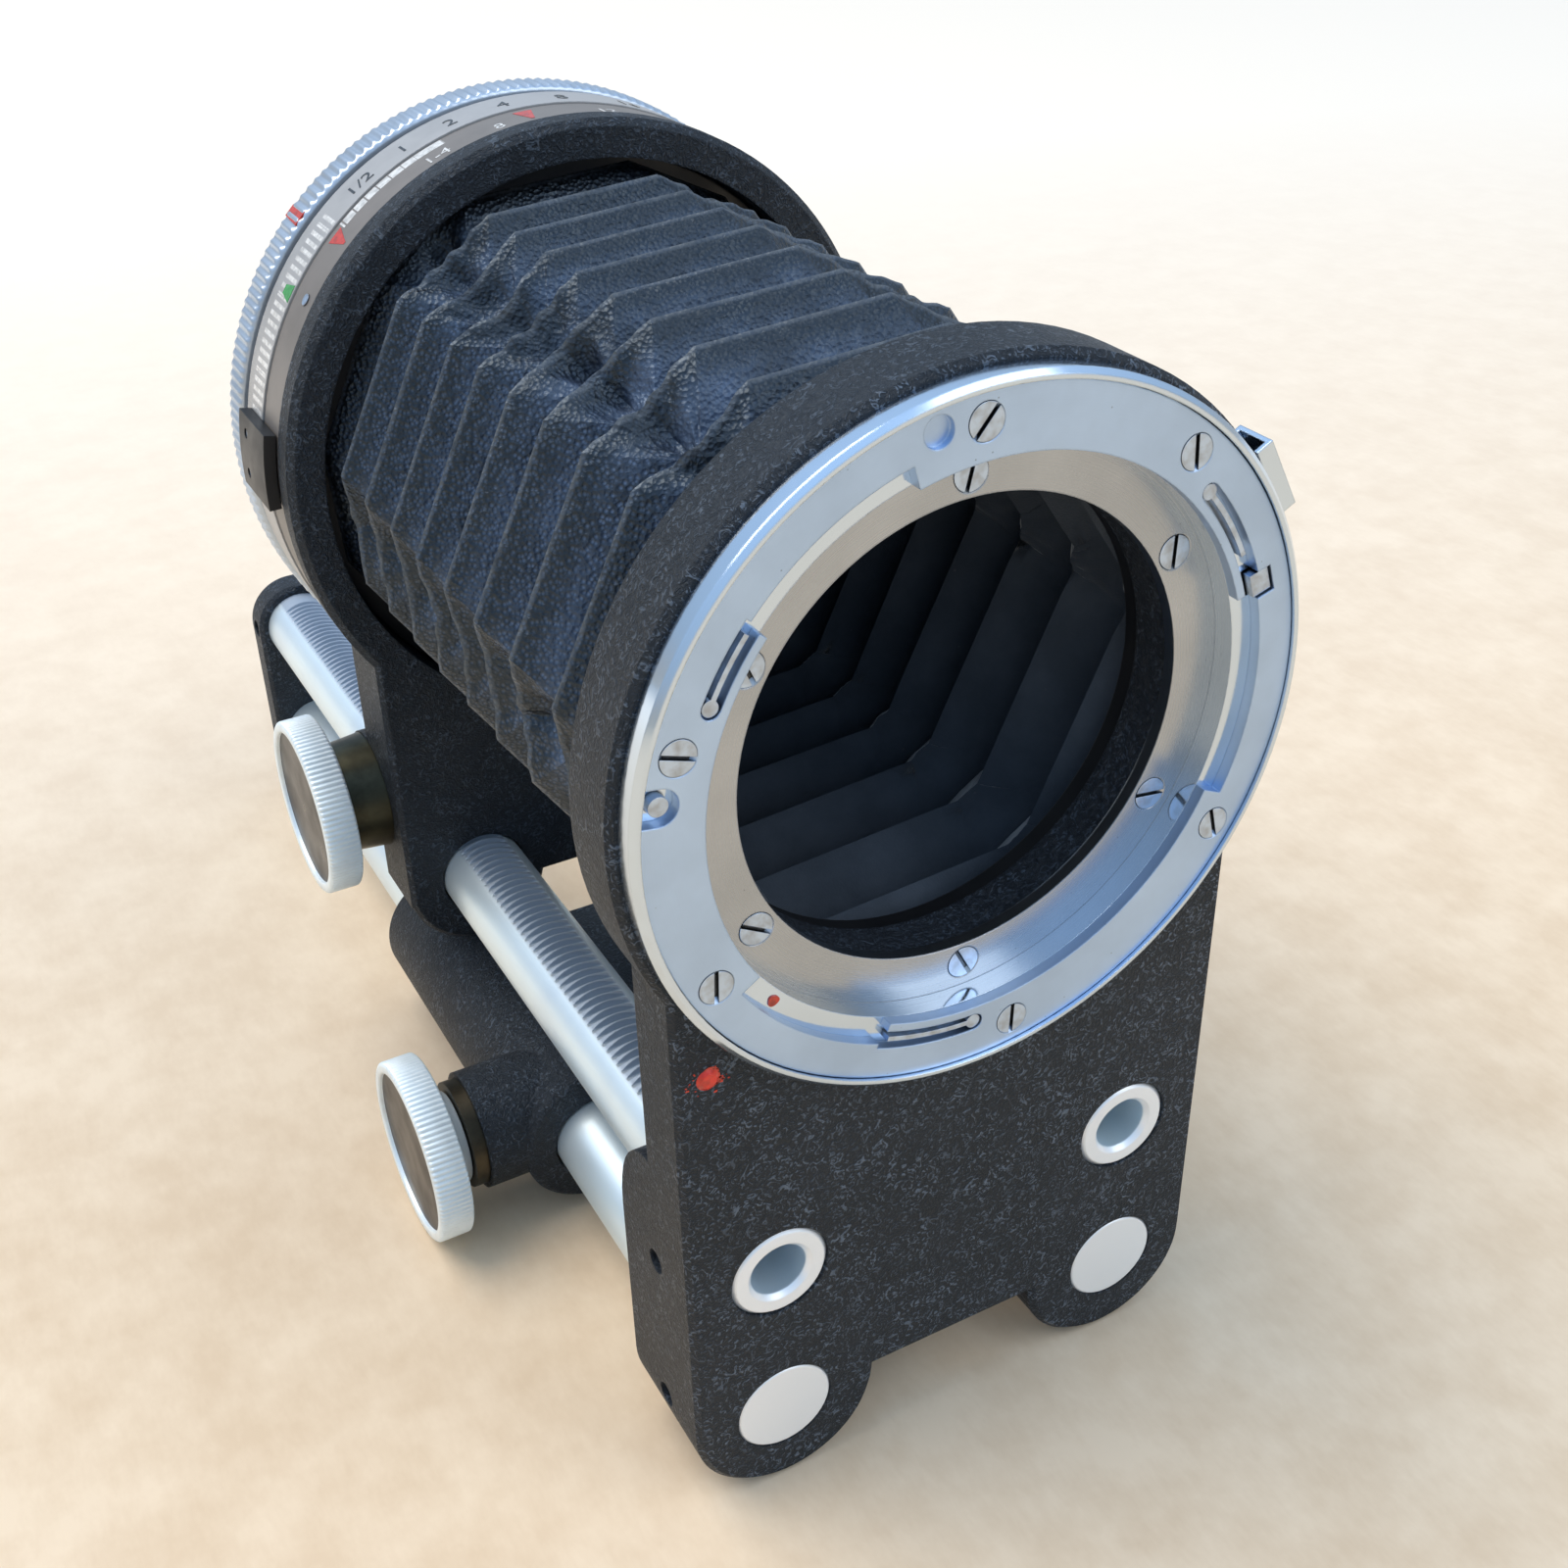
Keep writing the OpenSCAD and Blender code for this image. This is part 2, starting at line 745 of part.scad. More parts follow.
module release_lever() {
    web_r = head_radius + lever_out;
    y0 = bar_y0 - 1.6;
    y1 = bar_y0 + 3.6;
    color([0.78, 0.78, 0.78])
        union() {
            sector(catch_r0, bayonet_outer - 0.2, catch_angle - 3, lever_angle + 3, bar_y0, bar_y0 + bar_thick);
            around(lever_angle) {
                translate([bayonet_outer - 1, bar_y0, -2])
                    cube([web_r - bayonet_outer + 1.2, bar_thick, 4]);
                difference() {
                    translate([head_radius + 0.5, y0, -lever_half])
                        cube([lever_out, y1 - y0, 2 * lever_half]);
                    translate([head_radius, y0 + lever_wall, -lever_half - eps])
                        cube([lever_out + 0.5 - lever_wall, y1 - y0 - 2 * lever_wall, 2 * lever_half + 1]);
                }
            }
        }
}

module catch_block() {
    color([0.75, 0.75, 0.75])
        around(catch_angle)
            translate([catch_r0, ring_face_y + 0.3, -catch_half])
                cube([catch_r1 - catch_r0, bar_y0 - ring_face_y - 0.3, 2 * catch_half]);
}

module catch_spring() {
    color([0.6, 0.6, 0.62])
        around((catch_angle + lever_angle) / 2, bayonet_outer - 2.6)
            difference() {
                bar(1.5, bar_y0 + bar_thick, pocket_end);
                bar(0.9, bar_y0 + bar_thick - eps, pocket_end + eps);
            }
}

// ---- Rear standard ----

module shaft_hole(r, x0, x1) {
    bar_x(r, x0, x1, shaft_y, shaft_z);
}

module rear_standard() {
    ring_room = collar_radius + 0.3;
    color([0.07, 0.07, 0.08])
        difference() {
            union() {
                bar(collar_radius, standard_y, collar_y, c0 = edge_chamfer * 1.4);
                bar(neck_radius, collar_y - eps, neck_y);
                ring(tube_radius, barrel_radius, neck_y - 1, tube_y);
                difference() {
                    union() {
                        slab(half_w, upper_z - 3, 0, standard_y, foot_y, edge_chamfer);
                        for (s = SIDES)
                            bar(lobe_radius, standard_y, foot_y, s * (half_w - lobe_radius), lobe_z,
                                edge_chamfer);
                        shaft_hole(boss_radius, -half_w, boss_x1);
                    }
                    bar(ring_room, collar_y, foot_y + 20);
                }
            }
            bar(recess_radius, standard_y - eps, recess_y);
            bar(barrel_radius + ring_clearance, recess_y - eps, tube_y + eps);
            for (s = SIDES) {
                bar(bushing_r, standard_y + bushing_recess, foot_y + eps, s * rod_x, upper_z);
                bar(rod_r + 0.3, standard_y - eps, foot_y + 15, s * rod_x, upper_z);
            }
            shaft_hole(pocket_radius, pinion_x0 - 1, pinion_x1 + 1);
            shaft_hole(4 + fit, -half_w - 1, pinion_x0);
            shaft_hole(shaft_radius + 0.05, -rod_x, boss_x1 + 1);
            bar_x(3.5 + fit, rod_x + rod_r, half_w + 1, lock_y, upper_z);
            for (a = key_angles)
                around(a)
                    translate([barrel_radius - 2, recess_y - eps, -key_width / 2 - 0.05])
                        cube([3.85, tube_y - recess_y + 1, key_width + 0.1]);
            for (a = [45 : 90 : 315])
                around(a, recess_radius - 1.5) bar(0.7 + fit, recess_y - eps, recess_y + 2.6);
            for (a = [0 : 120 : 240])
                around(a, tube_radius - 1.25) bar(0.6 + fit, tube_y - 2, tube_y + eps);
            around(145, neck_radius - 1.5)
                translate([0, collar_y + 3.5, 0])
                    rotate([0, 90, 0])
                        cylinder(r = 0.8 + fit, h = 3);
        }
}

module rod_bushings() {
    color([0.72, 0.58, 0.3])
        difference() {
            for (s = SIDES)
                bar(bushing_r, standard_y + bushing_recess, foot_y, s * rod_x, upper_z);
            for (s = SIDES)
                bar(running_r, standard_y, foot_y + eps, s * rod_x, upper_z);
            shaft_hole(pocket_radius, pinion_x0 - 1, pinion_x1 + 1);
            bar_x(lock_screw_r + 0.1, rod_x, half_w, lock_y, upper_z);
        }
}

module index_ring() {
    color([0.45, 0.43, 0.4])
        difference() {
            ring(index_radius, neck_radius, collar_y, collar_y + index_length);
            around(145, neck_radius - 1)
                translate([0, collar_y + 3.5, 0])
                    rotate([0, 90, 0])
                        cylinder(r = 0.8 + fit, h = 6);
        }
}

// The index mark, a pin through the index ring into the neck
module index_rivet() {
    color([0.75, 0.75, 0.75])
        around(145, neck_radius - 1.4)
            translate([0, collar_y + 3.5, 0])
                rotate([0, 90, 0])
                    cylinder(r = 0.8, h = index_radius - neck_radius + 1.6);
}

module keeper_ring() {
    color([0.5, 0.5, 0.52])
        difference() {
            ring(keeper_radius, barrel_radius + 0.3, tube_y, tube_y + keeper_thick);
            for (a = [0 : 120 : 240])
                around(a, tube_radius - 1.25) bar(0.6 + fit, tube_y - eps, tube_y + 2);
        }
}

module keeper_screws() {
    color([0.6, 0.6, 0.6])
        for (a = [0 : 120 : 240])
            around(a, tube_radius - 1.25) bar(0.6, tube_y - 1.8, tube_y + keeper_thick);
}

// The bush of the pinion shaft, with its collar outside the casting
module shaft_bush() {
    color([0.33, 0.31, 0.2])
        difference() {
            union() {
                shaft_hole(4, -half_w - eps, pinion_x0 - 1);
                translate([-knob_x + 0.3, shaft_y, shaft_z])
                    rotate([0, 90, 0])
                        cylinder(r1 = boss_radius - 0.8, r2 = boss_radius - 0.2, h = knob_gap - 0.3);
            }
            shaft_hole(shaft_radius + 0.05, -half_w - 8, -rod_x);
        }
}

module lock_nut() {
    color([0.72, 0.58, 0.3])
        difference() {
            bar_x(3.5, rod_x + bushing_r + 0.3, half_w + 1.5, lock_y, upper_z);
            bar_x(lock_screw_r + 0.05, rod_x, half_w + 3, lock_y, upper_z);
        }
}

// ---- Drive ----

// A fluted knob, its back at x and its dished face towards -X
module knob_body(x, y, z, neck_r, neck) {
    difference() {
        union() {
            translate([0, y, z])
                prism_x(-x - knob_width, -x) fluted(knob_radius, 0.3, knob_flutes);
            bar_x(neck_r, -x - eps, -x + neck, y, z);
        }
        bar_x(cap_radius + fit, -x - knob_width - eps, -x - knob_width + cap_thick + 0.6, y, z);
        bar_x(shaft_radius, -x - knob_width, -x + neck + eps, y, z);
    }
}

module knob_cap(x, y, z) {
    bar_x(cap_radius, -x - knob_width + 0.6, -x - knob_width + 0.6 + cap_thick, y, z);
}

module drive_knob() {
    color([0.8, 0.8, 0.8])
        knob_body(knob_x, shaft_y, shaft_z, 4.5, 0);
}

module drive_knob_cap() {
    color([0.25, 0.24, 0.24])
        knob_cap(knob_x, shaft_y, shaft_z);
}

module pinion_shaft() {
    color([0.7, 0.7, 0.72])
        shaft_hole(shaft_radius, -knob_x - knob_width + cap_thick + 0.6, boss_x1);
}

// The teeth are in mesh with the rack: a tooth points straight down at rest
module pinion() {
    tip = pitch_r + gear_module - 0.05;
    root = pitch_r - 1.25 * gear_module;
    half_tip = 0.16;
    half_pitch = rack_pitch / 4 - 0.1;
    half_root = rack_pitch / 4 + 0.1;
    color([0.72, 0.6, 0.32])
        difference() {
            union() {
                shaft_hole(root, pinion_x0, pinion_x1);
                translate([0, shaft_y, shaft_z])
                    prism_x(pinion_x0, pinion_x1)
                        for (i = [0 : pinion_teeth - 1])
                            rotate(i * 360 / pinion_teeth)
                                polygon([
                                    [-half_root, -root + 0.2],
                                    [-half_pitch, -pitch_r],
                                    [-half_tip, -tip],
                                    [half_tip, -tip],
                                    [half_pitch, -pitch_r],
                                    [half_root, -root + 0.2]
                                ]);
            }
            shaft_hole(shaft_radius, pinion_x0 - eps, pinion_x1 + eps);
        }
}

module lock_knob() {
    color([0.8, 0.8, 0.8])
        difference() {
            translate([0, lock_y, upper_z])
                prism_x(lock_knob_x, lock_knob_x + lock_knob_width) fluted(lock_knob_radius, 0.4, 40);
            bar_x(lock_knob_radius - 1.4, lock_knob_x + lock_knob_width - 1.6,
                lock_knob_x + lock_knob_width + eps, lock_y, upper_z);
            bar_x(lock_screw_r, lock_knob_x - eps, lock_knob_x + lock_knob_width, lock_y, upper_z);
        }
}

module lock_knob_cap() {
    x1 = lock_knob_x + lock_knob_width;
    color([0.25, 0.24, 0.24])
        bar_x(lock_knob_radius - 1.4 - fit, x1 - 1.6, x1 - 0.5, lock_y, upper_z);
}

module lock_screw() {
    color([0.7, 0.7, 0.72])
        bar_x(lock_screw_r, rod_x + rod_r + 0.1, lock_knob_x + lock_knob_width - 1.6, lock_y, upper_z);
}

// ---- Focusing mount ----

module distance_ring() {
    color([0.72, 0.7, 0.66])
        difference() {
            ring(distance_radius, tube_radius + ring_clearance, distance_y, distance_end);
            bar(keeper_radius + 0.2, tube_y - 0.1, distance_end + eps);
            for (a = [tab_angle - tab_screw_turn, tab_angle + tab_screw_turn])
                around(a, distance_radius - 2)
                    translate([0, distance_y + 2, 0])
                        rotate([0, 90, 0])
                            cylinder(r = 0.7 + fit, h = 4);
        }
}

module focus_tab() {
    y0 = collar_y + 1.5;
    color([0.06, 0.06, 0.06])
        difference() {
            sector(distance_radius + 0.03, distance_radius + 1.7, tab_angle - tab_half, tab_angle + tab_half,
                y0, distance_end - tab_back);
            for (a = [tab_angle - tab_screw_turn, tab_angle + tab_screw_turn])
                around(a, distance_radius - 2)
                    translate([0, distance_y + 2, 0])
                        rotate([0, 90, 0])
                            cylinder(r = 0.7 + fit, h = 6);
        }
}

module tab_screws() {
    color([0.5, 0.5, 0.5])
        for (a = [tab_angle - tab_screw_turn, tab_angle + tab_screw_turn])
            around(a, distance_radius - 1.9)
                translate([0, distance_y + 2, 0])
                    rotate([0, 90, 0])
                        cylinder(r = 0.7, h = 3.4);
}

module focus_barrel() {
    color([0.3, 0.3, 0.32])
        difference() {
            union() {
                bar(barrel_radius, barrel_y0, shoulder_y + eps);
                bar(shoulder_radius, shoulder_y, shoulder_y + shoulder_thick);
            }
            bar(rear_r, barrel_y0 - eps, shoulder_y + shoulder_thick + eps);
            for (a = key_angles)
                around(a)
                    translate([barrel_radius - 1, barrel_y0 - eps, -key_width / 2])
                        cube([2, key_length + eps, key_width]);
            for (a = [0 : 90 : 270])
                around(a + 20, rear_r + 3.5) bar(screw_r + fit, shoulder_y - 4, shoulder_y + shoulder_thick + eps);
        }
}

// Keys that run in straight grooves and stop the barrel from turning
module barrel_keys() {
    color([0.6, 0.6, 0.6])
        for (a = key_angles)
            around(a)
                translate([barrel_radius - 1, barrel_y0, -key_width / 2])
                    cube([2.7, key_length, key_width]);
}

module rear_flange() {
    y0 = shoulder_y + shoulder_thick;
    y1 = flange_y + 0.2;
    lip = 0.8;
    color([0.78, 0.78, 0.78])
        difference() {
            union() {
                bar(flange_radius, y0, y1);
                bar(flange_radius + 1.4, y1 - eps, y1 + lip);
            }
            bar(rear_r, y0 - eps, y1 + lip + eps);
            bar(rear_r + 2.5, y1 - 0.7, y1 + lip + eps);
            for (a = [0 : 90 : 270])
                around(a + 20, rear_r + 3.5) {
                    bar(screw_r + fit, y0 - eps, y1 + lip + eps);
                    bar(screw_head + fit, y1 - 0.2, y1 + lip + eps);
                }
        }
}

module rear_flange_screws() {
    head_y = flange_y + 0.7;
    color([0.7, 0.7, 0.7])
        for (i = [0 : 3])
            around(i * 90 + 20, rear_r + 3.5)
                difference() {
                    union() {
                        bar(screw_r, shoulder_y - 3.5, head_y);
                        bar(screw_head, flange_y, head_y);
                    }
                    rotate([0, 30 + 40 * i, 0])
                        translate([-3, head_y - 0.4, -screw_slot / 2])
                            cube([6, 1, screw_slot]);
                }
}

module locking_ring() {
    color([0.82, 0.83, 0.84])
        difference() {
            prism(lock_ring_y, flange_y) fluted(lock_ring_radius, 0.45, 150);
            bar(flange_radius + ring_clearance, lock_ring_y - eps, flange_y + eps);
        }
}

// ---- Carriage ----

module carriage() {
    side = rod_x + sleeve_radius;
    color([0.07, 0.07, 0.08])
        difference() {
            union() {
                for (s = SIDES)
                    bar(sleeve_radius, carriage_y, carriage_end, s * rod_x, lower_z, edge_chamfer, edge_chamfer);
                prism(block_y0, block_y1)
                    translate([-rod_x, carriage_floor])
                        square([2 * rod_x, lower_z - carriage_floor]);
                bar_x(clamp_boss, -clamp_knob_x + 4.5, -rod_x, clamp_y, clamp_z);
            }
            for (s = SIDES) {
                bar(bushing_r, carriage_y + bushing_recess, carriage_end - bushing_recess, s * rod_x, lower_z);
                bar(rod_r + 0.3, carriage_y - eps, carriage_end + eps, s * rod_x, lower_z);
            }
            bar_x(4 + fit, -clamp_knob_x, -rod_x - bushing_r + 1.8, clamp_y, clamp_z);
            translate([0, tripod_y, carriage_floor - eps])
                cylinder(r = tripod_radius + tripod_wall, h = tripod_depth + eps);
        }
}

module carriage_bushings() {
    color([0.72, 0.58, 0.3])
        difference() {
            for (s = SIDES)
                bar(bushing_r, carriage_y + bushing_recess, carriage_end - bushing_recess, s * rod_x, lower_z);
            for (s = SIDES)
                bar(running_r, carriage_y, carriage_end, s * rod_x, lower_z);
            bar_x(clamp_screw_r + 0.6, -half_w, -rod_x, clamp_y, clamp_z);
        }
}

module tripod_bush() {
    color([0.7, 0.7, 0.68])
        difference() {
            translate([0, tripod_y, carriage_floor])
                cylinder(r = tripod_radius + tripod_wall, h = tripod_depth);
            translate([0, tripod_y, carriage_floor - eps])
                cylinder(r = tripod_radius, h = tripod_depth + 2 * eps);
        }
}

module clamp_bush() {
    color([0.62, 0.52, 0.28])
        difference() {
            union() {
                bar_x(4, -clamp_knob_x + 4, -rod_x - bushing_r - 0.3, clamp_y, clamp_z);
                bar_x(clamp_boss - 0.8, -clamp_knob_x + 2.5, -clamp_knob_x + 4.5, clamp_y, clamp_z);
            }
            bar_x(clamp_screw_r + 0.05, -clamp_knob_x, -rod_x, clamp_y, clamp_z);
        }
}

// The soft pad between the clamp screw and the rod
module clamp_pad() {
    gap = 0.1;
    color([0.72, 0.58, 0.3])
        bar_x(clamp_screw_r, -rod_x - bushing_r - 0.6, -rod_x - rod_r - gap, clamp_y, clamp_z);
}

module clamp_knob() {
    color([0.8, 0.8, 0.8])
        knob_body(clamp_knob_x, clamp_y, clamp_z, clamp_boss - 2, 2.3);
}

module clamp_knob_cap() {
    color([0.25, 0.24, 0.24])
        knob_cap(clamp_knob_x, clamp_y, clamp_z);
}

module clamp_screw() {
    color([0.7, 0.7, 0.72])
        bar_x(clamp_screw_r, -clamp_knob_x - knob_width + cap_thick + 0.6, -rod_x - bushing_r - 0.7,
            clamp_y, clamp_z);
}

front_plate();
mount_rim();
bayonet_ring();
bayonet_springs();
face_screws();
throat_ring();
throat_screws();
index_pin();
index_bead();
socket_screws();
rack_rod();
upper_rod();
lower_rods();
end_plate();
bellows_front_frame();
bellows();
release_lever();
catch_block();
catch_spring();
rear_standard();
rod_bushings();
bellows_rear_frame();
rear_frame_screws();
index_ring();
index_rivet();
keeper_ring();
keeper_screws();
shaft_bush();
lock_nut();
drive_knob();
drive_knob_cap();
pinion_shaft();
pinion();
lock_knob();
lock_knob_cap();
lock_screw();
distance_ring();
focus_tab();
tab_screws();
focus_barrel();
barrel_keys();
rear_flange();
rear_flange_screws();
locking_ring();
carriage();
carriage_bushings();
tripod_bush();
clamp_bush();
clamp_pad();
clamp_knob();
clamp_knob_cap();
clamp_screw();
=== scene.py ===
"""The looks of a macro bellows extension unit: black crackle castings, bright rings and a folded skin.

Lengths named *_mm are millimetres; everything that reaches a mesh is metres. The optical axis is Y,
with the front mount's seat at zero, and Z is up.
"""
import json
import math

import bmesh
import bpy
import numpy as np
from mathutils import Matrix, Vector


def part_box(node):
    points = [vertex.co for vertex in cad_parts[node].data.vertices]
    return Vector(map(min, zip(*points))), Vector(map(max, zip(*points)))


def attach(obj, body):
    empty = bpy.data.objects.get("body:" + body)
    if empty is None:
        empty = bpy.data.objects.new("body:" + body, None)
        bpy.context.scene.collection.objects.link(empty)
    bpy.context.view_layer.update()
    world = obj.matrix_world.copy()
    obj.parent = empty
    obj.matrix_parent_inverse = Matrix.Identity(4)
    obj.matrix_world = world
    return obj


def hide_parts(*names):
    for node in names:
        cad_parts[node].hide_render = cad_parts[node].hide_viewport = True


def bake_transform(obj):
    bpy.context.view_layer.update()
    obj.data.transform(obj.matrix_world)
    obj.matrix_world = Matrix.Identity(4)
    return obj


MM = 0.001
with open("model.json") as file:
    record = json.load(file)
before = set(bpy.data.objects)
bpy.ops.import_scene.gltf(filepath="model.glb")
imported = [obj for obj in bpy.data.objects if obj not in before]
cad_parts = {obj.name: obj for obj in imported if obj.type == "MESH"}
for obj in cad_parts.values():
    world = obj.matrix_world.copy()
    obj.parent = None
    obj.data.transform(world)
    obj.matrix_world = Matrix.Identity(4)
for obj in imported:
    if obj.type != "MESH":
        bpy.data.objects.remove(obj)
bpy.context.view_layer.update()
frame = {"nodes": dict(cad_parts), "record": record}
NODES = frame["nodes"]
SLOT = {row["node"]: row["material_slot"] for row in frame["record"]["subparts"]}
BODY = {node: body for body, names in frame["record"]["behaviour"]["bodies"].items() for node in names}

# Axes of the four rods, in millimetres: their distance from the middle and the heights of the two pairs
ROD_X = 25.0
UPPER_Z = -64.8
LOWER_Z = -88.2
FLOOR_Z = float(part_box("front_plate")[0].z)


# ---- Camera ------------------------------------------------------------------------------------

def place_camera():
    """A camera at the taking position, looking down along the bellows with a slight tilt of the horizon."""
    azimuth, elevation, roll = (math.radians(a) for a in (-28.04, 32.24, -1.50))
    place_mm = Vector((-97.42, -139.97, 102.53))
    back = Vector((math.sin(azimuth) * math.cos(elevation),
                   -math.cos(azimuth) * math.cos(elevation), math.sin(elevation)))
    right = (-back).cross(Vector((0, 0, 1))).normalized()
    up = right.cross(-back)
    across = right * math.cos(roll) + up * math.sin(roll)
    upright = up * math.cos(roll) - right * math.sin(roll)
    data = bpy.data.cameras.new("view")
    data.lens, data.sensor_width = 43.42, 36.0
    data.clip_start, data.clip_end = 0.01, 20.0
    camera = bpy.data.objects.new("view", data)
    turn = Matrix((across, upright, back)).transposed().to_4x4()
    camera.matrix_world = Matrix.Translation(place_mm * MM) @ turn
    bpy.context.scene.collection.objects.link(camera)
    bpy.context.scene.camera = camera


# ---- Materials ---------------------------------------------------------------------------------

class Finish:
    """One finish: a Principled shader, with helpers that add the nodes feeding it."""

    def __init__(self, name, colour, roughness, metallic=0.0, edge_mm=0.0, **sockets):
        """The plain look; edge_mm shades sharp edges as if they were rounded that much."""
        self.material = bpy.data.materials.new(name)
        self.material.use_nodes = True
        self.tree = self.material.node_tree
        self.shader = self.tree.nodes["Principled BSDF"]
        self.set("Base Color", (*colour, 1.0))
        self.set("Roughness", roughness)
        self.set("Metallic", metallic)
        for socket, value in sockets.items():
            self.set(socket.replace("_", " "), value)
        self.place = self.tree.nodes.new("ShaderNodeTexCoord").outputs["Object"]
        self.relief = None
        if edge_mm:
            soften = self.node("ShaderNodeBevel", {"samples": 4}, Radius=edge_mm * MM)
            self.relief = soften.outputs[0]
            self.feed("Normal", self.relief)

    def set(self, socket, value):
        """Sets a number or a colour that is the same all over."""
        self.shader.inputs[socket].default_value = value

    def feed(self, socket, source):
        """Links a node's output to one of the shader's sockets."""
        self.tree.links.new(source, self.shader.inputs[socket])

    def node(self, kind, settings=(), **inputs):
        """Adds a node with its own settings; inputs are named, or numbered as i0, i1 and so on."""
        node = self.tree.nodes.new(kind)
        for key, value in dict(settings).items():
            setattr(node, key, value)
        for key, value in inputs.items():
            socket = node.inputs[int(key[1:])] if key[0] == "i" and key[1:].isdigit() else node.inputs[key]
            if hasattr(value, "is_output"):
                self.tree.links.new(value, socket)
            else:
                socket.default_value = value
        return node

    def mapped(self, scale=(1, 1, 1), turn=(0, 0, 0)):
        """Object coordinates, stretched and turned."""
        return self.node("ShaderNodeMapping", Vector=self.place, Scale=scale, Rotation=turn).outputs[0]

    def noise(self, scale, detail=2.0, rough=0.5, where=None, distortion=0.0):
        """Soft random spots, scale per metre."""
        return self.node("ShaderNodeTexNoise", Vector=where or self.place, Scale=scale, Detail=detail,
                         Roughness=rough, Distortion=distortion).outputs["Fac"]

    def cells(self, scale):
        """Distance to the nearest of a random set of points, scale per metre."""
        return self.node("ShaderNodeTexVoronoi", Vector=self.place, Scale=scale).outputs["Distance"]

    def maths(self, operation, a, b=0.0):
        """One sum on numbers or sockets."""
        return self.node("ShaderNodeMath", {"operation": operation}, i0=a, i1=b).outputs[0]

    def spread(self, value, low, high, to_low=0.0, to_high=1.0):
        """value carried from low..high to to_low..to_high and kept inside it."""
        node = self.node("ShaderNodeMapRange", i0=value, i1=low, i2=high, i3=to_low, i4=to_high)
        return node.outputs[0]

    def blend(self, amount, colour_a, colour_b):
        """colour_a where amount is 0 and colour_b where it is 1; either may be a socket."""
        node = self.tree.nodes.new("ShaderNodeMix")
        node.data_type = "RGBA"
        self.tree.links.new(amount, node.inputs["Factor"])
        for index, colour in ((6, colour_a), (7, colour_b)):
            if hasattr(colour, "is_output"):
                self.tree.links.new(colour, node.inputs[index])
            else:
                node.inputs[index].default_value = (*colour, 1.0)
        return node.outputs[2]

    def bump(self, height, depth, strength=1.0):
        """Adds relief of about depth metres where height runs from 0 to 1."""
        node = self.tree.nodes.new("ShaderNodeBump")
        node.inputs["Strength"].default_value = strength
        node.inputs["Distance"].default_value = depth
        self.tree.links.new(height, node.inputs["Height"])
        if self.relief is not None:
            self.tree.links.new(self.relief, node.inputs["Normal"])
        self.relief = node.outputs[0]
        self.feed("Normal", self.relief)

    def radius(self, centre_x=0.0, centre_z=0.0, mirror=False):
        """Distance from an axis along Y, in metres; with mirror the axis has a twin at -centre_x."""
        part = self.node("ShaderNodeSeparateXYZ", Vector=self.place)
        x = self.maths("ABSOLUTE", part.outputs[0]) if mirror else part.outputs[0]
        x = self.maths("SUBTRACT", x, centre_x)
        z = self.maths("SUBTRACT", part.outputs[2], centre_z)
        squares = self.maths("ADD", self.maths("MULTIPLY", x, x), self.maths("MULTIPLY", z, z))
        return self.maths("SQRT", squares)

    def turned(self, radius, lines, depth):
        """Fine tool marks: a one-way noise along the radius, lines per metre."""
        where = self.node("ShaderNodeCombineXYZ", X=radius).outputs[0]
        marks = self.noise(lines, 2.0, 0.6, where)
        self.bump(marks, depth)
        return marks


def crackle_enamel():
    """Black stove enamel that dried in short raised worms on a blue-black ground. The worms' crests carry a
    painted highlight: a pale blue-grey glint painted into the colour, at full strength up to 0.4 mm along the
    axis and at half strength from 1.2 mm on.
    """
    f = Finish("crackle enamel", (0.006, 0.007, 0.010), 0.45, edge_mm=0.5,
               Specular_IOR_Level=0.45, Specular_Tint=(0.70, 0.85, 1.0, 1.0))
    worms = f.noise(950, 3.0, 0.6, distortion=2.2)
    patch = f.noise(240, 2.0, 0.5)
    # Painted highlight: the worms' crests get a pale blue-grey glint painted into the colour, in patches and
    # weaker behind the front millimetre.
    crest_glints = f.maths("MULTIPLY", f.spread(worms, 0.545, 0.615), f.spread(patch, 0.35, 0.6, 0.35, 1.0))
    across = f.node("ShaderNodeSeparateXYZ", Vector=f.place)
    crest_glints = f.maths("MULTIPLY", crest_glints, f.spread(across.outputs[1], 0.0004, 0.0012, 1.0, 0.5))
    f.bump(worms, 0.00045, 1.0)
    f.bump(f.noise(3600, 2.0, 0.6), 0.00005, 0.7)
    clouds = f.spread(f.noise(40, 3.0, 0.6), 0.35, 0.7)
    ground = f.blend(clouds, (0.0070, 0.0085, 0.0120), (0.013, 0.015, 0.020))
    # The painted crest highlight goes into the base colour here.
    f.feed("Base Color", f.blend(crest_glints, ground, (0.105, 0.135, 0.180)))
    f.feed("Roughness", f.spread(crest_glints, 0.0, 1.0, 0.5, 0.3))
    return f.material


def black_anodised():
    """Thin satin black on metal, with a fine even tooth."""
    f = Finish("black anodised", (0.008, 0.0085, 0.010), 0.4, edge_mm=0.2, Specular_IOR_Level=0.5)
    f.bump(f.noise(2600, 2.0), 0.00002, 0.6)
    f.feed("Roughness", f.spread(f.noise(180, 3.0), 0.3, 0.7, 0.34, 0.5))
    return f.material


def bright_chrome():
    """Polished nickel with faint handling haze."""
    f = Finish("bright chrome", (0.64, 0.75, 0.88), 0.14, 1.0, edge_mm=0.3)
    f.feed("Roughness", f.spread(f.noise(90, 4.0, 0.65), 0.35, 0.75, 0.09, 0.2))
    f.bump(f.noise(500, 2.0), 0.00001, 0.5)
    return f.material


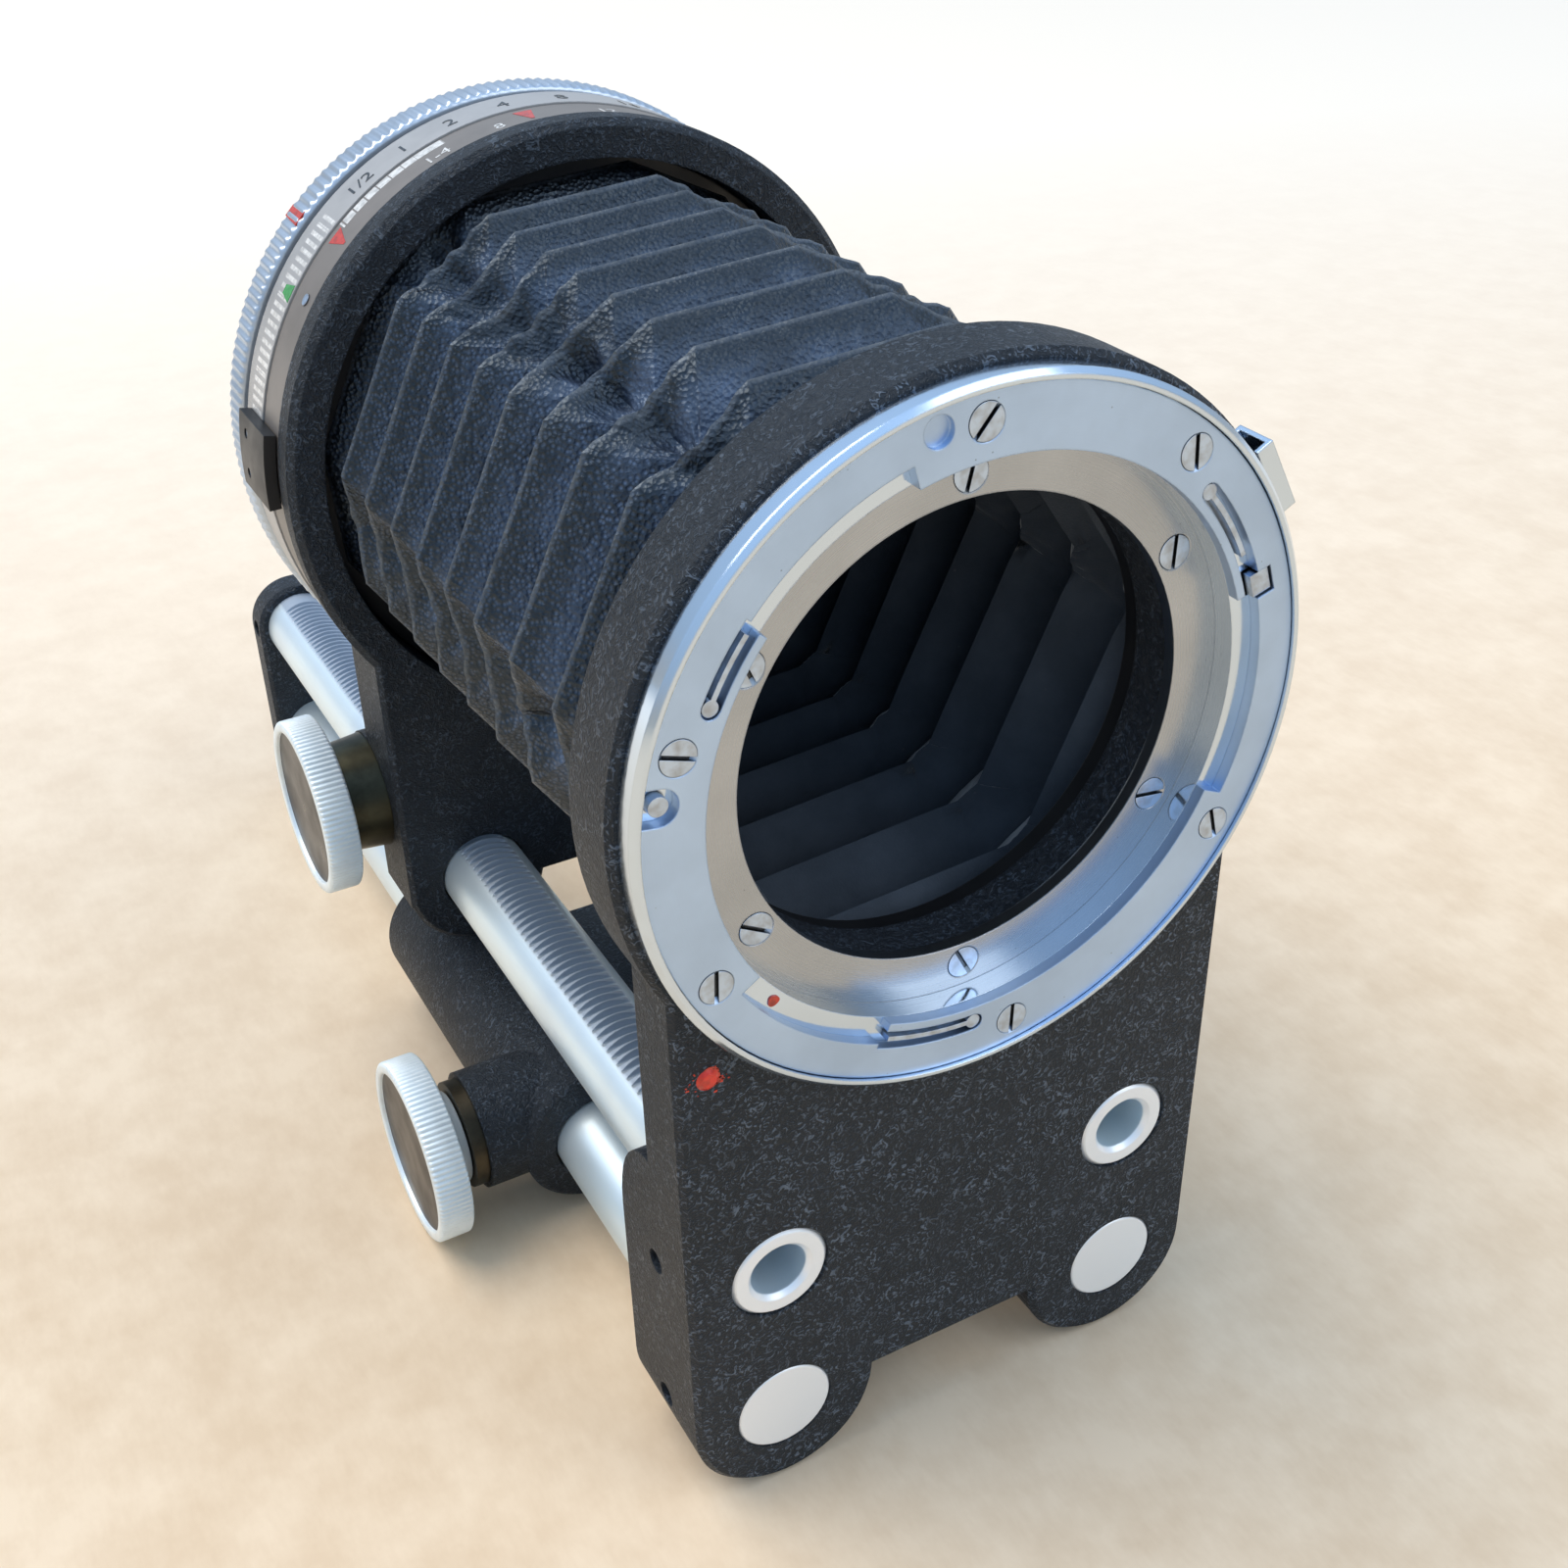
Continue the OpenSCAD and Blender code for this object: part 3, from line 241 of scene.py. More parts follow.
def turned_face(name, colour, rough, lines=9000, depth=0.000006):
    """A lathe-turned face about the optical axis: circular marks, rubbed patches, small nicks and scuffs."""
    f = Finish(name, colour, rough, 1.0, edge_mm=0.3)
    marks = f.turned(f.radius(), lines, depth)
    patches = f.noise(70, 4.0, 0.6)
    nicks = f.spread(f.cells(420), 0.02, 0.05, 1.0, 0.0)
    shade = f.blend(f.spread(patches, 0.35, 0.7), tuple(c * 0.86 for c in colour), colour)
    f.feed("Base Color", f.blend(nicks, shade, tuple(c * 0.5 for c in colour)))
    f.bump(f.noise(260, 3.0), 0.00003, 0.35)
    f.feed("Roughness", f.spread(marks, 0.3, 0.7, rough * 0.85, rough * 1.2))
    return f.material


def drawn_rod():
    """Satin aluminium bar: soft and pale, fine marks round the bar, and spun ends about each rod's axis.
    The rack's teeth, on top of the upper left rod, are duller and darker."""
    f = Finish("drawn rod", (0.80, 0.82, 0.84), 0.36, 1.0, edge_mm=0.3)
    f.bump(f.noise(9000, 2.0, 0.6, f.mapped(scale=(0.02, 1.0, 0.02))), 0.000006)
    for height in (UPPER_Z, LOWER_Z):
        f.turned(f.radius(ROD_X * MM, height * MM, mirror=True), 7000, 0.000008)
    across = f.node("ShaderNodeSeparateXYZ", Vector=f.place)
    face = f.spread(across.outputs[1], 0.0003, 0.0009, 1.0, 0.0)
    cut_z = (UPPER_Z + 5.2) * MM
    above_cut = f.spread(across.outputs[2], cut_z, cut_z + 0.0004)
    on_left = f.spread(across.outputs[0], -0.001, 0.001, 1.0, 0.0)
    teeth = f.maths("MULTIPLY", above_cut, on_left)
    bar = f.blend(f.spread(f.noise(30, 4.0, 0.6), 0.45, 0.8), (0.80, 0.93, 1.0), (0.66, 0.77, 0.88))
    bar = f.blend(teeth, bar, (0.34, 0.41, 0.50))
    f.feed("Base Color", f.blend(face, bar, (0.92, 0.96, 1.0)))
    f.feed("Roughness", f.spread(f.maths("MULTIPLY", teeth, f.noise(60, 3.0)), 0.0, 0.6, 0.36, 0.6))
    f.feed("Metallic", f.spread(f.maths("MAXIMUM", face, teeth), 0.0, 1.0, 0.65, 0.45))
    return f.material


def turned_steel():
    """Small bright screws with a grey bloom; light that does not reach the slots leaves them dark."""
    f = Finish("turned steel", (0.54, 0.66, 0.82), 0.36, 1.0, edge_mm=0.12)
    f.bump(f.noise(5200, 2.0), 0.000008, 0.7)
    shade = f.blend(f.spread(f.noise(700, 3.0), 0.4, 0.7), (0.55, 0.67, 0.84), (0.40, 0.45, 0.52))
    open_sky = f.tree.nodes.new("ShaderNodeAmbientOcclusion")
    open_sky.inputs["Distance"].default_value = 0.0009
    open_sky.samples = 6
    f.feed("Base Color", f.blend(f.spread(open_sky.outputs["AO"], 0.45, 0.85), (0.03, 0.03, 0.03), shade))
    return f.material


def gripped_nickel(name, colour, metal):
    """Satin nickel on a fluted rim, a little greyer where hands have rubbed it."""
    f = Finish(name, colour, 0.34, metal)
    f.bump(f.noise(2500, 2.0), 0.00001, 0.6)
    rubbed = f.spread(f.noise(140, 4.0, 0.6), 0.45, 0.8)
    f.feed("Base Color", f.blend(rubbed, colour, tuple(c * 0.82 for c in colour)))
    return f.material


def brass(name, colour, rough):
    """Turned brass, browned in patches."""
    f = Finish(name, colour, rough, 1.0, edge_mm=0.2)
    browned = f.spread(f.noise(220, 4.0, 0.6), 0.4, 0.7)
    f.feed("Base Color", f.blend(browned, colour, tuple(c * 0.5 for c in colour)))
    f.bump(f.noise(4000, 2.0), 0.00001, 0.5)
    return f.material


def satin_paint(name, colour, rough=0.4):
    """Smooth paint on a turned ring, with a little orange peel and rubbed patches."""
    f = Finish(name, colour, rough, 0.25, edge_mm=0.25)
    f.turned(f.radius(), 5000, 0.000004)
    f.bump(f.noise(1400, 2.0), 0.000012, 0.5)
    rubbed = f.spread(f.noise(80, 4.0, 0.6), 0.45, 0.8)
    f.feed("Base Color", f.blend(rubbed, colour, tuple(c * 0.72 for c in colour)))
    return f.material


def dish_paint():
    """Dark grey-brown lacquer in the dished knob faces, with a fine tooth and patchy roughness."""
    f = Finish("dish lacquer", (0.030, 0.027, 0.026), 0.3, 0.3)
    f.bump(f.noise(1800, 3.0), 0.00002, 0.6)
    f.feed("Roughness", f.spread(f.noise(150, 3.0), 0.3, 0.7, 0.26, 0.44))
    return f.material


def leathercloth():
    """Blue-black grained skin. The mesh tells each point how close it lies to a ridge: a dusty pale thread
    lies on the ridge itself, and beside it, mostly on the slope that climbs to the ridge from the front, lies
    a rough dark band of painted shade; between the bands the skin is smoother and greyer. The grain on the
    left side, and less on the cut corners, gets a painted blue highlight."""
    f = Finish("leathercloth", (0.006, 0.008, 0.014), 0.42,
               Specular_IOR_Level=0.75, Specular_Tint=(0.62, 0.80, 1.0, 1.0))
    fold_light_and_dust = f.node("ShaderNodeAttribute", {"attribute_name": "fold_light_and_dust"}).outputs["Color"]
    part = f.node("ShaderNodeSeparateColor", Color=fold_light_and_dust)
    near, crest, grain_highlight = part.outputs[0], part.outputs[1], part.outputs[2]
    pebble = f.cells(1750)
    fine = f.noise(4200, 3.0, 0.6)
    wisps = f.noise(260, 5.0, 0.7, distortion=1.2)
    f.bump(pebble, 0.0002, 0.8)
    f.bump(fine, 0.00006, 0.5)
    f.bump(f.spread(wisps, 0.47, 0.53), 0.00008, 0.35)
    grain = f.spread(pebble, 0.15, 0.5, 1.0, 0.0)
    patch = f.spread(f.noise(150, 3.0, 0.6), 0.35, 0.7)
    smooth = f.blend(patch, (0.0125, 0.0190, 0.0340), (0.066, 0.098, 0.166))
    # Painted shade: the band beside each ridge, on the slope that faces the front, is painted darker into the
    # colour.
    dark = f.blend(grain, (0.0012, 0.0016, 0.0026), (0.0085, 0.0110, 0.0155))
    skin = f.blend(near, smooth, dark)
    # Painted highlight: pale blue grain on the left side and the corners, where the light falls.
    skin = f.blend(f.maths("MULTIPLY", grain_highlight, grain), skin, (0.085, 0.128, 0.215))
    dust = f.spread(f.noise(1300, 5.0, 0.75), 0.62, 0.72, 0.0, 0.4)
    skin = f.blend(dust, skin, (0.026, 0.033, 0.046))
    thread = f.maths("MULTIPLY", crest, f.spread(f.noise(700, 3.0, 0.6), 0.35, 0.6, 0.35, 1.0))
    f.feed("Base Color", f.blend(thread, skin, (0.105, 0.112, 0.115)))
    f.feed("Roughness", f.spread(patch, 0.0, 1.0, 0.42, 0.24))
    return f.material


def lining_cloth():
    """Navy cotton lining, woven fine, in soft paler and darker streaks, with specks of lint."""
    f = Finish("lining cloth", (0.010, 0.013, 0.024), 0.9, Sheen_Weight=0.5, Sheen_Roughness=0.5)
    warp = f.noise(4200, 1.0, where=f.mapped((1, 0.2, 1)))
    weft = f.noise(4200, 1.0, where=f.mapped((0.2, 1, 0.2)))
    weave = f.maths("ADD", warp, weft)
    f.bump(weave, 0.00006, 0.7)
    lint = f.spread(f.cells(210), 0.025, 0.05, 0.7, 0.0)
    streak = f.spread(f.noise(120, 4.0, 0.6), 0.4, 0.7)
    cloth = f.blend(streak, (0.040, 0.054, 0.074), (0.062, 0.080, 0.106))
    f.feed("Base Color", f.blend(lint, cloth, (0.10, 0.11, 0.13)))
    return f.material


def gloss_paint(name, colour):
    """A dab of gloss paint, uneven where the brush left it."""
    f = Finish(name, colour, 0.25, Coat_Weight=0.3)
    f.bump(f.noise(1600, 3.0), 0.00008, 0.8)
    thin = f.spread(f.noise(1200, 2.0), 0.35, 0.7)
    f.feed("Base Color", f.blend(thin, colour, tuple(c * 0.6 for c in colour)))
    return f.material


def backdrop_paper():
    """A sheet of brown wrapping paper under strong daylight: mottled fibres, and painted light that makes it
    paler towards the back and a little towards the right.
    """
    f = Finish("backdrop paper", (0.70, 0.60, 0.47), 0.85, Specular_IOR_Level=0.2)
    across = f.node("ShaderNodeSeparateXYZ", Vector=f.place)
    mottle = f.noise(85, 4.0, 0.6)
    clouds = f.noise(9, 3.0, 0.5)
    fibre = f.noise(600, 3.0, 0.7, f.mapped(scale=(1, 0.35, 1), turn=(0, 0, 0.5)))
    spots = f.maths("ADD", f.maths("MULTIPLY", mottle, 0.75), f.maths("MULTIPLY", fibre, 0.25))
    paper = f.blend(f.spread(spots, 0.36, 0.64), (0.705, 0.552, 0.388), (0.800, 0.655, 0.485))
    paper = f.blend(f.spread(clouds, 0.35, 0.7, 0.0, 0.08), paper, (0.70, 0.53, 0.36))
    # Painted light: the paper is painted paler towards the back and a little towards the right.
    pale = f.maths("ADD", across.outputs[1], f.maths("MULTIPLY", across.outputs[0], 0.25))
    f.feed("Base Color", f.blend(f.spread(pale, 0.05, 0.65), paper, (0.86, 0.79, 0.69)))
    f.bump(f.noise(300, 4.0, 0.6), 0.0002, 0.15)
    return f.material


MATERIALS = {
    "black_enamel": crackle_enamel(),
    "black_anodised": black_anodised(),
    "bright_chrome": bright_chrome(),
    "satin_chrome": turned_face("satin chrome", (0.52, 0.68, 0.92), 0.42),
    "satin_aluminium": drawn_rod(),
    "screw_steel": turned_steel(),
    "spring_steel": turned_steel(),
    "bushing_brass": brass("bushing brass", (0.085, 0.075, 0.055), 0.4),
    "collar_brass": brass("collar brass", (0.070, 0.070, 0.050), 0.34),
    "bellows_cloth": leathercloth(),
    "taupe_ring": satin_paint("taupe ring", (0.22, 0.20, 0.185)),
    "silver_ring": satin_paint("silver ring", (0.42, 0.42, 0.42), 0.35),
    "dark_cap": dish_paint(),
    "red_paint": gloss_paint("red paint", (0.75, 0.03, 0.012)),
}
NODE_FINISH = {
    "throat_ring": turned_face("throat nickel", (0.465, 0.50, 0.545), 0.28, 6000, 0.00001),
    "drive_knob": gripped_nickel("knob nickel", (0.85, 0.95, 1.0), 0.3),
    "locking_ring": gripped_nickel("ring nickel", (0.52, 0.60, 0.70), 0.85),
}
NODE_FINISH["clamp_knob"] = NODE_FINISH["lock_knob"] = NODE_FINISH["drive_knob"]


def finish_of(node):
    """A node's own finish, or the one of its material slot."""
    return NODE_FINISH.get(node, MATERIALS[SLOT[node]])


# ---- Pieces from the machined parts ------------------------------------------------------------

def wear(obj, *materials):
    """Gives an object these materials and no others."""
    obj.data.materials.clear()
    for material in materials:
        obj.data.materials.append(material)


def grid_mesh(name, points, material, wrap_u=False, wrap_v=False, flip=False):
    """A mesh from a grid of points shaped (rows, columns, 3); either way round may be closed."""
    rows, columns = points.shape[:2]
    i = np.arange(rows if wrap_u else rows - 1)[:, None]
    j = np.arange(columns if wrap_v else columns - 1)[None, :]
    a = i * columns + j
    b = i * columns + (j + 1) % columns
    c = (i + 1) % rows * columns + (j + 1) % columns
    d = (i + 1) % rows * columns + j
    quads = np.stack([a, b, c, d] if not flip else [d, c, b, a], -1).reshape(-1, 4)
    mesh = bpy.data.meshes.new(name)
    mesh.from_pydata(points.reshape(-1, 3), [], quads.tolist())
    mesh.polygons.foreach_set("use_smooth", [True] * len(mesh.polygons))
    mesh.update()
    piece = bpy.data.objects.new(name, mesh)
    bpy.context.scene.collection.objects.link(piece)
    wear(piece, material)
    return piece


# ---- Fluted knobs and the knurled ring ---------------------------------------------------------

def lathe(name, profile_mm, centre, axis, flutes, depth_mm, grip, material, steps=6):
    """A closed turned shape: the profile's (length, radius) points go round the axis, and the radius is
    cut back by depth_mm times a cosine of the flutes where grip is 1."""
    profile = np.array(profile_mm) * MM
    grip = np.array(grip, float)
    turn = np.linspace(0, 2 * np.pi, flutes * steps, endpoint=False)[:, None]
    wave = (0.5 - 0.5 * np.cos(flutes * turn)) ** 1.5
    radius = profile[None, :, 1] - depth_mm * MM * wave * grip[None, :]
    length = np.broadcast_to(profile[None, :, 0], radius.shape)
    a, b = radius * np.cos(turn), radius * np.sin(turn)
    order = {"x": (length, a, b), "y": (b, length, a)}[axis]
    points = np.stack(order, -1) + np.array(centre)
    return grid_mesh(name, points, material, wrap_u=True, wrap_v=True)


def fluted_knob(node, side, neck_mm):
    """A broad knob on a cross shaft: a neck, a fluted rim with rounded shoulders and a dished face."""
    low, high = (np.array(corner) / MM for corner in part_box(node))
    rim = (high[2] - low[2]) / 2
    width = high[0] - low[0] - neck_mm
    dish_inset, dish_depth, neck, flute_depth = 1.7, 2.0, 6.8, 0.26
    large = node != "lock_knob"
    shaft, flutes = (2.5, 104) if large else (2.02, 70)
    dish, floor_at = rim - dish_inset, width - dish_depth
    start = [(0.0, shaft)]
    if neck_mm:
        start = [(-neck_mm, shaft), (-neck_mm, neck - 0.2), (-neck_mm + 0.2, neck), (0.0, neck)]
    body = [(0.0, rim - 0.75), (0.08, rim - 0.4), (0.3, rim - 0.08), (0.55, rim), (width / 2, rim),
            (width - 0.55, rim), (width - 0.3, rim - 0.08), (width - 0.08, rim - 0.35), (width, rim - 0.6),
            (width, dish + 0.35), (width - 0.08, dish + 0.1), (width - 0.3, dish), (floor_at, dish),
            (floor_at, shaft)]
    profile = start + body
    grip = [0.0] * (len(start) + 1) + [0.6, 0.95, 1, 1, 1, 0.95, 0.6] + [0.0] * 6
    back = high[0] - neck_mm if side < 0 else low[0] + neck_mm
    profile = [(side * length, radius) for length, radius in profile]
    centre = np.array([back, (low[1] + high[1]) / 2, (low[2] + high[2]) / 2]) * MM
    piece = lathe(node + "_fluted", profile, centre, "x", flutes, flute_depth, grip, NODE_FINISH[node])
    close_outward(piece)
    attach(piece, BODY[node])
    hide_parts(node)


def knurled_ring():
    """The locking ring: fine straight knurling between two plain rounded lips."""
    low, high = (np.array(corner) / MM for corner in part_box("locking_ring"))
    rim, length, bore = (high[0] - low[0]) / 2, high[1] - low[1], 41.06
    ridges, ridge_depth, steps = 190, 0.42, 5
    profile = [(0, bore + 0.3), (0, rim - 0.9), (0.1, rim - 0.5), (0.45, rim - 0.2), (0.7, rim - 0.05),
               (1.0, rim), (length / 2, rim), (length - 1.0, rim), (length - 0.7, rim - 0.05),
               (length - 0.45, rim - 0.2), (length - 0.1, rim - 0.5), (length, rim - 0.9),
               (length, bore + 0.3), (length - 0.3, bore), (0.3, bore)]
    grip = [0, 0, 0, 0.4, 0.9, 1, 1, 1, 0.9, 0.4, 0, 0, 0, 0, 0]
    piece = lathe("locking_ring_knurled", profile, (0, low[1] * MM, 0), "y", ridges, ridge_depth, grip,
                  NODE_FINISH["locking_ring"], steps)
    close_outward(piece)
    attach(piece, BODY["locking_ring"])
    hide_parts("locking_ring")


def close_outward(piece, end_sides=0):
    """Caps open ends that have up to end_sides sides, then turns every face outwards."""
    work = bmesh.new()
    work.from_mesh(piece.data)
    if end_sides:
        bmesh.ops.holes_fill(work, edges=work.edges, sides=end_sides)
    bmesh.ops.recalc_face_normals(work, faces=work.faces)
    work.to_mesh(piece.data)
    work.free()


def catch_coil():
    """The catch's return spring: a wire round a helix about the optical axis' direction, radius r and three
    turns."""
    low, high = (np.array(corner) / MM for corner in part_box("catch_spring"))
    x, z = (low[0] + high[0]) / 2, (low[2] + high[2]) / 2
    wire, turns, gap, wire_sides = 0.13, 3.0, 0.02, 8
    radius = (high[0] - low[0]) / 2 - wire - gap
    run = np.linspace(0, 1, 97)[:, None]
    round_wire = np.linspace(0, 2 * np.pi, wire_sides, endpoint=False)[None, :]
    angle = 2 * np.pi * turns * run
    out = radius + wire * np.cos(round_wire)
    y0, y1 = low[1] + wire + gap, high[1] - wire - gap
    along = y0 + (y1 - y0) * run + wire * np.sin(round_wire)
    helix = np.broadcast_arrays(x + out * np.cos(angle), along, z + out * np.sin(angle))
    piece = grid_mesh("catch_coil", np.stack(helix, -1) * MM, finish_of("catch_spring"), wrap_v=True)
    close_outward(piece, wire_sides)
    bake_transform(piece)
    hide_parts("catch_spring")


# ---- Painted marks -----------------------------------------------------------------------------

def paint_patches(name, radius_mm, patches, material, body, thick_mm=0.05):
    """Thin paint on a round surface. Each patch is (angle at its left and right, in degrees, front y,
    back y, and how far the back edge draws in, from 0 to 1)."""
    points, faces = [], []
    for left, right, front, back, draw in patches:
        steps = max(2, int(abs(left - right) / 1.5) + 2)
        middle = (left + right) / 2
        start = len(points)
        for row, y in ((0, front), (1, back)):
            pull = 1 - draw * row
            ends = middle + (left - middle) * pull, middle + (right - middle) * pull
            for angle in np.radians(np.linspace(*ends, steps)):
                points.append((radius_mm * math.cos(angle) * MM, y * MM, radius_mm * math.sin(angle) * MM))
        for k in range(steps - 1):
            faces.append((start + k, start + steps + k, start + steps + k + 1, start + k + 1))
    mesh = bpy.data.meshes.new(name)
    mesh.from_pydata(points, [], faces)
    return finish_paint(name, mesh, material, body, thick_mm)


def finish_paint(name, mesh, material, body, thick_mm):
    """Gives flat paint its thickness, outwards from the surface under it, and its place on a body."""
    piece = bpy.data.objects.new(name, mesh)
    bpy.context.scene.collection.objects.link(piece)
    wear(piece, material)
    film = piece.modifiers.new("film", "SOLIDIFY")
    film.thickness, film.offset = thick_mm * MM, 1.0
    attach(piece, body)
    return piece


def paint_dots(name, dots, y_mm, material, body, thick_mm):
    """Round dabs on a face that looks to the front. Each is (x, z, half width, half height); the outline
    is a circle with a little seeded wobble."""
    rng = np.random.default_rng(9)
    points, faces = [], []
    turn = np.linspace(0, 2 * np.pi, 20, endpoint=False)
    for x, z, wide, high in dots:
        wobble = 1 + 0.10 * np.sin(2 * turn + rng.uniform(0, 6)) + 0.07 * np.sin(3 * turn + rng.uniform(0, 6))
        start = len(points)
        points += [((x + wide * k * math.cos(a)) * MM, y_mm * MM, (z + high * k * math.sin(a)) * MM)
                   for a, k in zip(turn, wobble)]
        faces.append(tuple(range(start, start + len(turn))))
    mesh = bpy.data.meshes.new(name)
    mesh.from_pydata(points, [], faces)
    return finish_paint(name, mesh, material, body, thick_mm)


def dial_figures(name, figures, radius_mm, y_mm, height_mm, material, body):
    """Plain figures round a ring: each is (text, angle of its middle). Flat letters are bent so that
    their width runs round the ring and their tops point to the rear."""
    joined = bmesh.new()
    for text, angle in figures:
        curve = bpy.data.curves.new("figure", "FONT")
        curve.body, curve.size, curve.align_x, curve.align_y = text, height_mm * MM, "CENTER", "CENTER"
        curve.resolution_u = 3
        letter = bpy.data.objects.new("figure", curve)
        bpy.context.scene.collection.objects.link(letter)
        bpy.context.view_layer.update()
        flat = bpy.data.meshes.new_from_object(letter.evaluated_get(bpy.context.evaluated_depsgraph_get()))
        bpy.data.objects.remove(letter)
        flat_points = np.zeros(len(flat.vertices) * 3)
        flat.vertices.foreach_get("co", flat_points)
        flat_points = flat_points.reshape(-1, 3)
        where = math.radians(angle) - flat_points[:, 0] / (radius_mm * MM)
        bent = np.stack([np.cos(where) * radius_mm * MM, y_mm * MM + flat_points[:, 1],
                         np.sin(where) * radius_mm * MM], -1)
        flat.vertices.foreach_set("co", bent.ravel())
        joined.from_mesh(flat)
        bpy.data.meshes.remove(flat)
    mesh = bpy.data.meshes.new(name)
    joined.to_mesh(mesh)
    joined.free()
    return finish_paint(name, mesh, material, body, 0.05)


def ring_marks():
    """Index marks of the focusing mount: red triangles and a white band on the fixed ring, a hatched
    scale, a green mark and plain figures on the turning ring, and a red mark on the knurled ring."""
    white = gloss_paint("white paint", (0.78, 0.78, 0.76))
    red = gloss_paint("signal red paint", (0.62, 0.035, 0.012))
    green = gloss_paint("green paint", (0.03, 0.36, 0.07))
    black = gloss_paint("engraving black", (0.015, 0.015, 0.016))
    index_mm = float(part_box("index_ring")[1].x) / MM
    dial_mm = float(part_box("distance_ring")[1].x) / MM
    knurl_mm = float(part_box("locking_ring")[1].x) / MM
    triangles = [(135.2, 131.8, 106.6, 102.4, 0.85), (95.7, 92.3, 106.6, 102.4, 0.85)]
    paint_patches("index_red_marks", index_mm, triangles, red, "standard")
    band = [(131.5, 109.0, 105.7, 107.6, 0.0)]
    paint_patches("index_white_band", index_mm, band, white, "standard")
    hatch = [(angle + 0.42, angle - 0.42, 108.7, 113.2, 0.0) for angle in np.arange(132.0, 168.1, 1.7)]
    paint_patches("dial_hatching", dial_mm, hatch, white, "focus_ring")
    green_mark = [(147.6, 144.4, 108.6, 111.6, 0.5)]
    paint_patches("dial_green_mark", dial_mm + 0.06, green_mark, green, "focus_ring")
    dial = [("1/2", 124.0), ("1", 114.5), ("2", 105.0), ("4", 95.0), ("8", 84.0), ("16", 71.0)]
    dial_figures("dial_figures", dial, dial_mm, 111.4, 3.6, black, "focus_ring")
    index = [("1-4", 112.0), ("8", 100.0), ("12", 80.0), ("16", 64.0)]
    dial_figures("index_figures", index, index_mm, 102.9, 3.0, white, "standard")
    dot_radius, dot_angle = 34.3, math.radians(-138)
    dot = [(dot_radius * math.cos(dot_angle), dot_radius * math.sin(dot_angle), 0.75, 0.6)]
    paint_dots("recess_red_dot", dot, -1.2, red, "frame", 0.15)
    bead_x, bead_z, drops = -33, -31.5, 26
    rng = np.random.default_rng(4)
    turn, out = rng.uniform(0, 6.28, drops), rng.uniform(1.15, 2.7, drops)
    size = rng.uniform(0.05, 0.24, drops)
    smear = [(bead_x + r * math.cos(k), bead_z + 0.8 * r * math.sin(k), q, q * 0.6)
             for k, r, q in zip(turn, out, size)]
    splashes = smear + [(-32.8, -31.3, 1.5, 1.25)]
    paint_dots("bead_splashes", splashes, 0.0, red, "frame", 0.04)
    knurl_mark = [(136.4, 133.4, 118.2, 123.2, 0.2)]
    paint_patches("knurl_red_mark", knurl_mm - 0.1, knurl_mark, red, "mount_lock", 0.2)


# ---- Bellows -----------------------------------------------------------------------------------

# Where the ridges lie along the axis at rest; the folds are a little uneven
FOLD_Y = np.array([11.2, 21.6, 33.2, 43.6, 53.8, 63.6, 73.2, 82.8, 92.2, 100.8])
TURN = math.radians(4.0)


def hexagon(flat, cut):
    """Twelve corners in X and Z: a hexagon with a flat top, each corner cut back by cut both ways."""
    reach = flat / math.cos(math.radians(30))
    corners = []
    for k in range(6):
        for side in (-1, 1):
            a, b = math.radians(60 * k) + TURN, math.radians(60 * (k + side)) + TURN
            here, there = np.array([math.cos(a), math.sin(a)]), np.array([math.cos(b), math.sin(b)])
            corners.append(reach * here + (there - here) * cut)
    return np.array(corners)


def waves(u, v, seed, count=10, low=1.0, high=6.0):
    """Soft seeded waves over two parameters: a mean of plane waves with random headings."""
    rng = np.random.default_rng(seed)
    total = np.zeros(np.broadcast(u, v).shape)
    for _ in range(count):
        heading, phase = rng.uniform(0, 2 * np.pi, 2)
        pitch = rng.uniform(low, high)
        total += np.sin(pitch * (np.cos(heading) * u + np.sin(heading) * v) + phase)
    return total / math.sqrt(count)


def facets(u, v, seed, count=7, low=1.0, high=5.0):
    """Like waves, but each is a zigzag, so the sum has flat faces and straight creases."""
    rng = np.random.default_rng(seed)
    total = np.zeros(np.broadcast(u, v).shape)
    for _ in range(count):
        heading, phase = rng.uniform(0, 2 * np.pi, 2)
        pitch = rng.uniform(low, high)
        turn = (pitch * (np.cos(heading) * u + np.sin(heading) * v) + phase) / (2 * np.pi)
        total += np.abs((turn % 1) * 4 - 2) - 1
    return total / math.sqrt(count)


